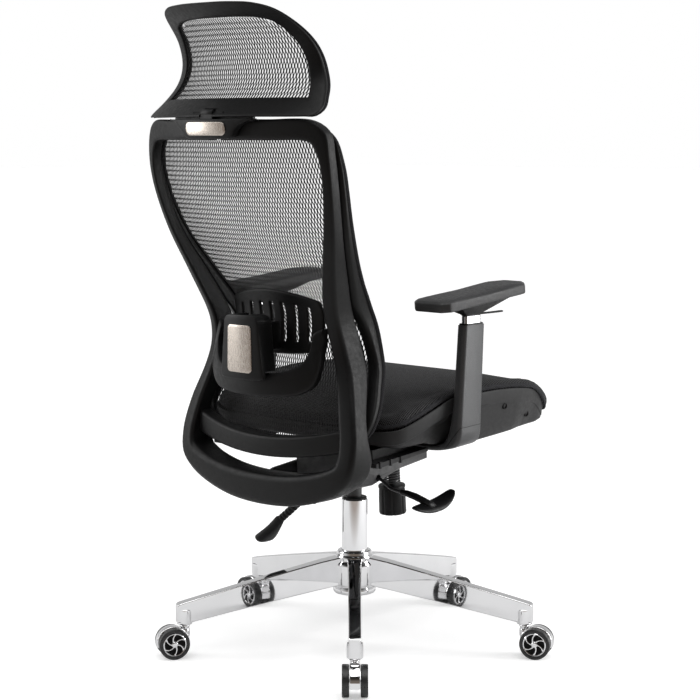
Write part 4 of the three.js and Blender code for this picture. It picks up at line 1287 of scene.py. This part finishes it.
def make_lumbar():
    """The strap across the frame with its guide, and the slider with its bright insert."""
    low = strap_edge([(-136, 596), (-136, 560), (-127, 533), (-103, 517), (-54, 511), (0, 510)])
    high = strap_edge([(-132, 634), (-119, 626), (-117, 596), (-108, 575), (-85, 560), (-50, 553),
                       (0, 552)])
    strap = swept(high, low, lambda x, z: strap_rear(x, z) - 16, strap_rear, section(0.14, 0.25),
                  wrap=False)
    make("lumbar_bracket_moulded", strap, "back", BLACK_PLASTIC, "black_plastic", ["lumbar_bracket"],
         flat_above=60)
    guide = slab(rounded_rectangle(30, 10, 3), -42.0, 52.0, 1.0, axis="z")
    make("lumbar_guide", moved(guide, tipped_guide), "back", BLACK_PLASTIC, "black_plastic",
         flat_above=40)
    half = [(0, 656), (26, 655.6), (35, 653), (41, 646), (43, 636), (46, 605), (52, 560), (53.5, 549),
            (52, 544), (47, 541.6), (0, 541)]
    body = slab(smooth_loop(both_sides(half), 160), 262.0, slider_face, 2.0)
    slider = make("lumbar_slider_moulded", body, None, SATIN_PLASTIC)
    cut_away(slider, (-16, 240, 530), (16, 298, 662))
    cut_away(slider, (-60, 240, 530), (60, 289, 557))
    declare(slider, "lumbar", "black_plastic", "lumbar_slider")
    face = spaced(rounded_rectangle(60, 85, 8), 140)
    face[:, 0] *= 1 - 0.0007 * face[:, 1]
    insert = slab(face + np.array([0, 595.5]), 298.0, lambda x, z: slider_face(x, z) + 1.3, 0.8)
    make("lumbar_insert_plate", insert, "lumbar", CHAMPAGNE, "champagne_metal", ["lumbar_insert"],
         flat_above=50)


LUMBAR_HALF = 114.0  # half the pad's width
SLOT_PITCH = 28.0
SLOT_HALF = 3.0


def lumbar_pad_front(x, z):
    return 210 - 14 * (x / LUMBAR_HALF) ** 2 + 0.005 * np.maximum(0, z - 640) ** 2


def slotted_plate():
    """The lumbar pad's middle surface, with seven upright slots left open in its grid."""
    columns = {-LUMBAR_HALF, LUMBAR_HALF}
    for k in range(-4, 4):
        columns.update(SLOT_PITCH * k + step for step in (9, 14, 19)
                       if abs(SLOT_PITCH * k + step) < LUMBAR_HALF - 1)
    for k in range(-3, 4):
        columns.update((SLOT_PITCH * k - SLOT_HALF, SLOT_PITCH * k + SLOT_HALF))
    columns = sorted(columns)
    shares = [0, 0.06, 0.14, 0.2, 0.24, 0.4, 0.6, 0.76, 0.8, 0.87, 0.95, 1.0]
    verts, faces = [], []
    for share in shares:
        for x in columns:
            low = 580 + 9 * (x / LUMBAR_HALF) ** 2
            high = 698 - 18 * (x / LUMBAR_HALF) ** 2
            z = low + (high - low) * share
            x *= 1 - 0.05 * abs(2 * share - 1) ** 4
            verts.append((x, lumbar_pad_front(x, z) + 3.5, z))
    n = len(columns)
    for r, (low, high) in enumerate(zip(shares, shares[1:])):
        for c, (left, right) in enumerate(zip(columns, columns[1:])):
            off_slot = abs(((left + right) / 2 + SLOT_PITCH / 2) % SLOT_PITCH - SLOT_PITCH / 2)
            if off_slot > SLOT_HALF or low < 0.2 or high > 0.8:
                faces.append((r * n + c, r * n + c + 1, (r + 1) * n + c + 1, (r + 1) * n + c))
    return np.array(verts), faces


def make_lumbar_pad():
    """A thin curved plate with seven upright slots, on a boss that meets the slider."""
    pad = make("lumbar_pad_slotted", slotted_plate(), None, BLACK_PLASTIC)
    thick = pad.modifiers.new("plate", "SOLIDIFY")
    thick.thickness = 7 * MM
    thick.offset = 0
    rounder = pad.modifiers.new("round", "SUBSURF")
    rounder.levels = rounder.render_levels = 2
    declare(pad, "lumbar", "black_plastic", "lumbar_pad")
    stalk = slab(rounded_rectangle(44, 50, 4) + np.array([0, 615]), 214.0, 263.0, 1.5)
    make("lumbar_stalk", stalk, "lumbar", BLACK_PLASTIC, "black_plastic", flat_above=40)


# ---------------------------------------------------------------- headrest
HEAD_OUTLINE = [
    (0, 1199), (60, 1198.5), (105, 1195), (134, 1185), (150, 1168), (166, 1135), (182, 1080),
    (199, 1040), (210, 1015), (206, 1005), (185, 1004), (90, 1004), (0, 1004),
]
HEAD_DEPTH = curve_through([
    (1003, 385), (1030, 351), (1060, 324), (1090, 314), (1120, 319), (1150, 338), (1199, 394),
])
HEAD_CURVE = 0.0013


def head_rear(x, z):
    return HEAD_DEPTH(z) - HEAD_CURVE * x * x


def make_headrest():
    """The headrest's frame, the fabric's binding round it, and the fabric."""
    outer, inner = member_loops(HEAD_OUTLINE, lambda x, z: np.where(z < 1015, 33.0, 25.0), 200, 5)
    part = swept(inset(outer, 0.8), inner, lambda x, z: head_rear(x, z) - 9.5, head_rear,
                 section(0.16, 0.38), wrap=True)
    frame_part = make("headrest_frame_moulded", part, None, BLACK_PLASTIC)
    cut_away(frame_part, (-15.5, 340, 990), (15.5, 402, 1019))
    declare(frame_part, "headrest", "black_plastic", "headrest_frame")
    part = swept(outer, inner, lambda x, z: head_rear(x, z) - 15, lambda x, z: head_rear(x, z) - 8,
                 section(0.22, 0.45), wrap=True)
    binding = make("headrest_binding", part, None, EDGE_FABRIC)
    cut_away(binding, (-15.5, 364, 990), (15.5, 402, 1019))
    declare(binding, "headrest", "mesh_fabric")
    make_headrest_mesh(inset(inner, -6.0))


def make_headrest_mesh(edge):
    """The headrest's fabric, which ends at the loop edge."""
    low, high = edge[:, 1].min(), edge[:, 1].max()
    right = edge[edge[:, 0] > 0]
    side = smooth_border(right, 1)
    roof = smooth_border(right[right[:, 1] > 1150], 0)

    def inside(x, z):
        return low < z < roof(abs(x)) and abs(x) < side(z)

    def surface(x, z):
        return head_rear(x, z) - 9.0

    make_cloth(lattice(inside, surface, (-200, 200), (low, high)), "headrest_mesh_cloth",
               "headrest", "headrest_mesh")


LUG_HALF = 14.6  # half the width of the pivot's lug, and of the rib and web that carry it


def neck_face(x, z):
    return 383 - 0.0014 * x ** 2 - 0.004 * (1000 - z) ** 2


def lug_prism(y0, y1, z0, z1):
    """A block as wide as the lug, with a row of points close to each end."""
    side = [(y0, z0), (y0, z1), (y1, z1), (y1, z0)]
    return prism(side, (-LUG_HALF, 0.4 - LUG_HALF, LUG_HALF - 0.4, LUG_HALF))


def make_neck():
    """The neck plate behind the top rail, its rib in the rail's slot, and its pivot lug."""
    half = [(0, 1000.6), (40, 1000.6), (80, 1000.6), (106, 1000.2), (92, 997), (76, 990), (66, 982),
            (59, 972), (50, 967.4), (0, 967)]
    loop = smooth_loop(both_sides(half), 140)
    plate = slab(loop, lambda x, z: rear_surface(x, z) + 2.5, neck_face, 2.2)
    profile = [(0, -14.6), (6.2, -14.6), (6.6, -14.2), (6.6, 14.2), (6.2, 14.6), (0, 14.6)]
    verts, faces = lathe(profile, 32)
    lug = np.stack([verts[:, 2], verts[:, 0] + 371, verts[:, 1] + 1011], 1), faces
    wall = slab(spaced(rounded_rectangle(196, 12, 4), 160) + np.array([0, 1002.5]), 353.0,
                lambda x, z: 367 - 0.0006 * x ** 2, 1.5)
    part = joined(plate, lug_prism(352.4, 368, 970, 1000.6), lug, lug_prism(365, 377, 995, 1011), wall)
    make("headrest_neck_moulded", part, "neck", BLACK_PLASTIC, "black_plastic", ["headrest_neck"],
         flat_above=45)
    stadium = spaced(rounded_rectangle(98.4, 23.4, 9.5, 14), 150) + np.array([0, 984])
    insert = slab(stadium, 377.0, lambda x, z: neck_face(x, z) + 1.6, 1.0)
    make("neck_insert_plate", insert, "neck", CHAMPAGNE, "champagne_metal", ["neck_insert"],
         flat_above=50)
    # The pin takes the near-black matte as painted shade, which hides its highlights in the gap behind
    # the headrest's band.
    refine("headrest_pin", PAINTED_SHADE_AND_JOINT_BLACK, 0.4, 2)


# ---------------------------------------------------------------- arms
POST_X, POST_Y = 265.5, -24.0
PAD = {"x": 258.0, "y": -38.0, "bottom": 674.0, "tilt": math.radians(5.6)}


FOOT_Y, FOOT_TOP, UPRIGHT_TOP = -10.0, 412.5, 633.0
UPRIGHT_LINE = [  # outer x, outer z, inner x, inner z: along the foot, round the corner and up
    (90, 401, 90, 412.5), (150, 401, 150, 412.5), (196, 401, 192, 412.5), (228, 403.6, 214, 412.6),
    (250, 408.4, 228, 414.4), (264, 413, 237, 419.5), (273, 421, 244, 429), (276.6, 433, 248.5, 443),
    (277, 450, 251.5, 460), (276.6, 490, 254.6, 494), (276.2, 560, 255, 560), (276, 633, 255, 633),
]


def climb(z):
    """0 on the foot, 1 at the upright's top."""
    return np.clip((z - FOOT_TOP) / (UPRIGHT_TOP - FOOT_TOP), 0, 1)


def upright_front(_, z):
    return FOOT_Y + (POST_Y - FOOT_Y) * climb(z) - upright_half(z)


def upright_rear(_, z):
    return FOOT_Y + (POST_Y - FOOT_Y) * climb(z) + upright_half(z)


def upright_half(z):
    return 32 * (1 - 0.125 * climb(z))


def arm_upright():
    """The foot under the seat and the upright, as one bar with soft edges."""
    line = catmull(UPRIGHT_LINE, 8, closed=False)
    verts, faces = swept(line[:, :2], line[:, 2:], upright_front, upright_rear,
                         section(0.32, 0.11, 6), wrap=False)
    fade = np.maximum(0, 1 - 2 * climb(verts[:, 2]))
    verts[:, 2] -= verts[:, 1] * math.tan(SEAT_TILT) * fade
    return verts, faces


def arm_seam():
    """The fine joint where the upright's corner piece meets its foot."""
    rear = []
    for x, z in ((276.4, 449.0), (266.0, 436.5), (254.0, 421.5), (243.5, 408.5)):
        y = upright_rear(x, z) - 0.1
        rear.append((x, y, z - y * math.tan(SEAT_TILT) * (1 - 2 * climb(z))))
    outer = [(276.7, y, 449.0 - y * math.tan(SEAT_TILT) * 0.67) for y in (17.0, -8.0, -38.0)]
    return joined(tube(rear, 0.55, 8), tube(outer, 0.55, 8))


def arm_collar():
    """The dark guide on the upright's top, round the post."""
    loop = rounded_rectangle(19, 52, 6) + np.array([POST_X, POST_Y])
    return slab(loop, 630.0, 636.0, 1.0, axis="z")


def arm_post():
    """The plated post that slides in the upright."""
    loop = rounded_rectangle(13, 44, 4.8) + np.array([POST_X, POST_Y])
    return slab(loop, 540.0, 649.0, 0.5, axis="z")


def pad_underside(y):
    return PAD["bottom"] - (y - PAD["y"]) * math.tan(PAD["tilt"])


def arm_carrier():
    """The wedge under the pad: narrow on the post, and spread wide under the pad."""
    rows = []
    bottom = 649.4
    for share, half_x, y0, y1 in ((0, 6.2, -45, -3), (0.1, 7.0, -46, -2.5), (0.3, 12, -62, 4),
                                  (0.6, 19.5, -88, 14), (0.85, 24.5, -112, 23), (0.96, 26, -124, 27),
                                  (1.0, 25.4, -123.4, 26.4)):
        x = POST_X + (PAD["x"] - POST_X) * min(1, share * 1.6)
        loop = rounded_rectangle(2 * half_x, y1 - y0, 3.2, 5) + np.array([x, (y0 + y1) / 2])
        top = pad_underside(loop[:, 1]) - 0.6
        rows.append(np.column_stack([loop, bottom + (top - bottom) * share]))
    return skin(rows)


def arm_trigger():
    """A thin flat tongue with an upturned, rounded front end."""
    rows = []
    for y, w, z in ((-45.5, 5.6, 651.2), (-60, 5.8, 651.1), (-84, 6.0, 651.0), (-100, 6.2, 651.0),
                    (-108, 6.0, 651.2), (-111.5, 4.6, 651.3), (-112.3, 2.4, 651.4)):
        ring = [(POST_X + (a - 0.5) * 2 * w, y, z + (d - 0.5) * 3.0) for a, d in section(0.3, 0.4, 4)]
        rows.append(ring)
    return skin(rows)


def pad_form():
    """The pad: an eight-sided plan, a chamfered underside and a crowned top."""
    x, y = 43.0, 126.0
    plan = [(-x + 14, y), (x - 14, y), (x, y - 14), (x, -y + 26), (x - 22, -y), (-x + 22, -y),
            (-x, -y + 26), (-x, y - 14)]
    dense = []
    for start, end in zip(np.array(plan), np.roll(plan, -1, 0)):
        dense += [start + (end - start) * step / 16 for step in range(16)]
    loop = relaxed(np.array(dense), 2)
    reach = np.linalg.norm(loop, axis=1)[:, None]
    rows = []
    for inwards, z in ((38, 0.0), (20, 0.0), (3.0, 0.0), (1.2, 0.5), (0.3, 1.6), (0.0, 3.2),
                       (0.0, 14.0), (0.4, 15.2), (1.4, 16.2), (6.4, 18.7), (7.8, 19.2), (18, 20.2),
                       (28, 20.8), (38, 21.0)):
        rows.append(np.column_stack([loop * (1 - inwards / reach), np.full(len(loop), z)]))
    return skin(rows)


def placed_pad(side):
    """The pad on its carrier, falling to the rear like the carrier's top."""
    verts, faces = pad_form()
    x, y, z = verts.T
    c, s = math.cos(PAD["tilt"]), math.sin(PAD["tilt"])
    along, up = y * c + z * s + PAD["y"], -y * s + z * c + PAD["bottom"]
    return np.stack([x + side * PAD["x"], along, up], 1), faces


def on_side(part, side):
    """An arm's part, modelled for the side of +X, on the side of the given sign."""
    return part[0] * np.array([side, 1, 1]), part[1]


def make_arms():
    """Both arms: the upright and its seam and collar on the seat, then the parts that slide."""
    for name, side in (("left", 1), ("right", -1)):
        lift, trigger = f"arm_{name}_lift", f"arm_{name}_trigger"
        parts = (
            ("upright_satin", arm_upright(), "seat", GRAPHITE, "graphite", "upright", 50),
            ("seam", arm_seam(), "seat", PAINTED_SHADE_AND_JOINT_BLACK, "graphite", None, 50),
            ("collar", arm_collar(), "seat", SATIN_PLASTIC, "black_plastic", None, 50),
            ("post_chrome", arm_post(), lift, POST_CHROME, "chrome", "post", 40),
            ("carrier_moulded", arm_carrier(), lift, BLACK_PLASTIC, "black_plastic", "carrier", 28),
            ("trigger_tongue", arm_trigger(), trigger, BLACK_PLASTIC, "black_plastic", "trigger", 50),
        )
        for word, part, body, look, slot, node, sharp in parts:
            replaced = [f"arm_{name}_{node}"] if node else ()
            make(f"arm_{name}_{word}", on_side(part, side), body, look, slot, replaced,
                 flat_above=sharp)
        pad = make(f"arm_{name}_pad_soft", placed_pad(side), None, SOFT_SKIN, flat_above=45)
        declare(pad, f"arm_{name}_pad", "soft_pad", f"arm_{name}_pad")


# ---------------------------------------------------------------- stage, light and camera
def make_stage():
    """A plain pale floor. It shines a little of its own, as an overlit studio floor does, and
    things reflect its unlit part, towards the dark side of the studio, as a dim warm tone."""
    bpy.ops.mesh.primitive_plane_add(size=80)
    floor = bpy.context.object
    floor.name = "floor"
    look = Look("floor", (0.8, 0.8, 0.8), 0.8, **{"Specular IOR Level": 0.0})
    look.vary_color(look.ramp(look.noise(1.5), 0.0, 0.3), (0.79, 0.79, 0.79))
    facing = look.node("ShaderNodeVectorMath", operation="DOT_PRODUCT")
    facing.inputs[1].default_value = (*DARK_SIDE, 0)
    look.links.new(look.place, facing.inputs[0])
    seen = look.node("ShaderNodeLightPath").outputs["Is Camera Ray"]
    unseen = look.math("SUBTRACT", 1.0, seen)
    dim = look.ramp(facing.outputs["Value"], 0.0, 0.8, 0.85, 1.35)
    look.vary_color(look.math("MULTIPLY", dim, unseen), (0.3, 0.24, 0.2))
    look.shader.inputs["Emission Color"].default_value = (1, 1, 1, 1)
    look.links.new(look.math("MULTIPLY", seen, 0.44), look.shader.inputs["Emission Strength"])
    floor.data.materials.append(look.material)


def softbox(name, place, target, size, power):
    """A broad lamp that faces its target."""
    data = bpy.data.lights.new(name, "AREA")
    data.shape = "RECTANGLE"
    data.size, data.size_y = size
    data.energy = power
    obj = bpy.data.objects.new(name, data)
    bpy.context.scene.collection.objects.link(obj)
    obj.location = place
    obj.rotation_euler = (Vector(target) - Vector(place)).to_track_quat("-Z", "Y").to_euler()


DARK_SIDE = (-0.682, 0.731)  # the unlit side of the studio, where the photographer stands


def make_world():
    """The studio as things reflect it: pale walls to the sides, a dimmer ceiling and a dark
    side. Where nothing stands in front of it, it is plain white."""
    world = bpy.data.worlds.new("studio")
    bpy.context.scene.world = world
    world.use_nodes = True
    nodes, links = world.node_tree.nodes, world.node_tree.links

    def span(value, low, high, start, end):
        """Goes smoothly from low to high while value goes from start to end."""
        made = nodes.new("ShaderNodeMapRange")
        made.interpolation_type = "SMOOTHSTEP"
        for key, number in (("From Min", start), ("From Max", end), ("To Min", low), ("To Max", high)):
            made.inputs[key].default_value = number
        links.new(value, made.inputs["Value"])
        return made.outputs["Result"]

    def mixed(factor, first, second):
        """Blends two strengths, each a number or a node's output."""
        made = nodes.new("ShaderNodeMix")
        made.data_type = "FLOAT"
        for key, value in (("Factor", factor), ("A", first), ("B", second)):
            if isinstance(value, float):
                made.inputs[key].default_value = value
            else:
                links.new(value, made.inputs[key])
        return made.outputs["Result"]

    way = nodes.new("ShaderNodeTexCoord").outputs["Generated"]
    split = nodes.new("ShaderNodeSeparateXYZ")
    links.new(way, split.inputs[0])
    facing = nodes.new("ShaderNodeVectorMath")
    facing.operation = "DOT_PRODUCT"
    facing.inputs[1].default_value = (*DARK_SIDE, 0)
    links.new(way, facing.inputs[0])
    walls = span(facing.outputs["Value"], 0.6, 0.17, 0.3, 0.92)
    upper = span(facing.outputs["Value"], 0.4, 0.03, 0.1, 0.6)
    room = mixed(span(split.outputs["Z"], 0.0, 1.0, 0.14, 0.5), walls, upper)
    room = mixed(span(split.outputs["Z"], 0.0, 1.0, 0.72, 0.95), room, 0.3)
    path = nodes.new("ShaderNodeLightPath")
    links.new(mixed(path.outputs["Is Camera Ray"], room, 1.0), nodes["Background"].inputs["Strength"])
    tint = nodes.new("ShaderNodeMix")
    tint.data_type = "RGBA"
    colors = [socket for socket in tint.inputs if socket.type == "RGBA"]
    colors[0].default_value = (1, 1, 1, 1)
    colors[1].default_value = (1.0, 0.83, 0.7, 1)
    hidden = span(path.outputs["Is Camera Ray"], 1.0, 0.0, 0.0, 1.0)
    warm = nodes.new("ShaderNodeMath")
    warm.operation = "MULTIPLY"
    links.new(hidden, warm.inputs[0])
    links.new(span(facing.outputs["Value"], 0.0, 1.0, 0.6, 0.95), warm.inputs[1])
    links.new(warm.outputs[0], tint.inputs["Factor"])
    result = [socket for socket in tint.outputs if socket.type == "RGBA"][0]
    links.new(result, nodes["Background"].inputs["Color"])


def make_light():
    """A soft sun from the ceiling, a softbox on each side, and the studio round them."""
    scene = bpy.context.scene
    make_world()
    sun = bpy.data.lights.new("ceiling", "SUN")
    sun.energy = 1.5
    sun.angle = math.radians(60)
    lamp = bpy.data.objects.new("ceiling", sun)
    scene.collection.objects.link(lamp)
    lamp.rotation_euler = (math.radians(-14), math.radians(-10), 0)
    away, right = Vector((*DARK_SIDE, 0)), Vector((-0.731, -0.682, 0))
    middle = Vector((0, 0, 0.8))
    softbox("side", middle + right * 2.6 + away * 0.2 + Vector((0, 0, 0.5)), middle, (1.2, 2.2), 55)
    softbox("rim", middle - right * 2.4 - away * 0.2 + Vector((0, 0, 0.7)), middle, (1.0, 2.2), 24)
    scene.view_settings.view_transform = "Standard"
    scene.view_settings.look = "None"


CAMERA_PLACE = (-2.3927, 2.5656, 0.977)
CAMERA_HEADING = math.radians(223)
CAMERA_DOWN = math.radians(6.68)
LENS, SENSOR = 95.35, 36


def make_camera():
    """The photograph's view: from behind, on the side of -X, a little above the seat."""
    data = bpy.data.cameras.new("camera")
    data.sensor_width = SENSOR
    data.lens = LENS
    camera = bpy.data.objects.new("camera", data)
    bpy.context.scene.collection.objects.link(camera)
    camera.location = CAMERA_PLACE
    camera.rotation_euler = (math.radians(90) - CAMERA_DOWN, 0, CAMERA_HEADING)
    bpy.context.scene.camera = camera


make_camera()
make_base()
make_castors()
make_mechanism()
make_seat()
make_rear_frame()
make_mesh_frame()
make_crossbar()
make_back_mesh()
make_lumbar()
make_lumbar_pad()
make_headrest()
make_neck()
make_arms()
make_stage()
make_light()
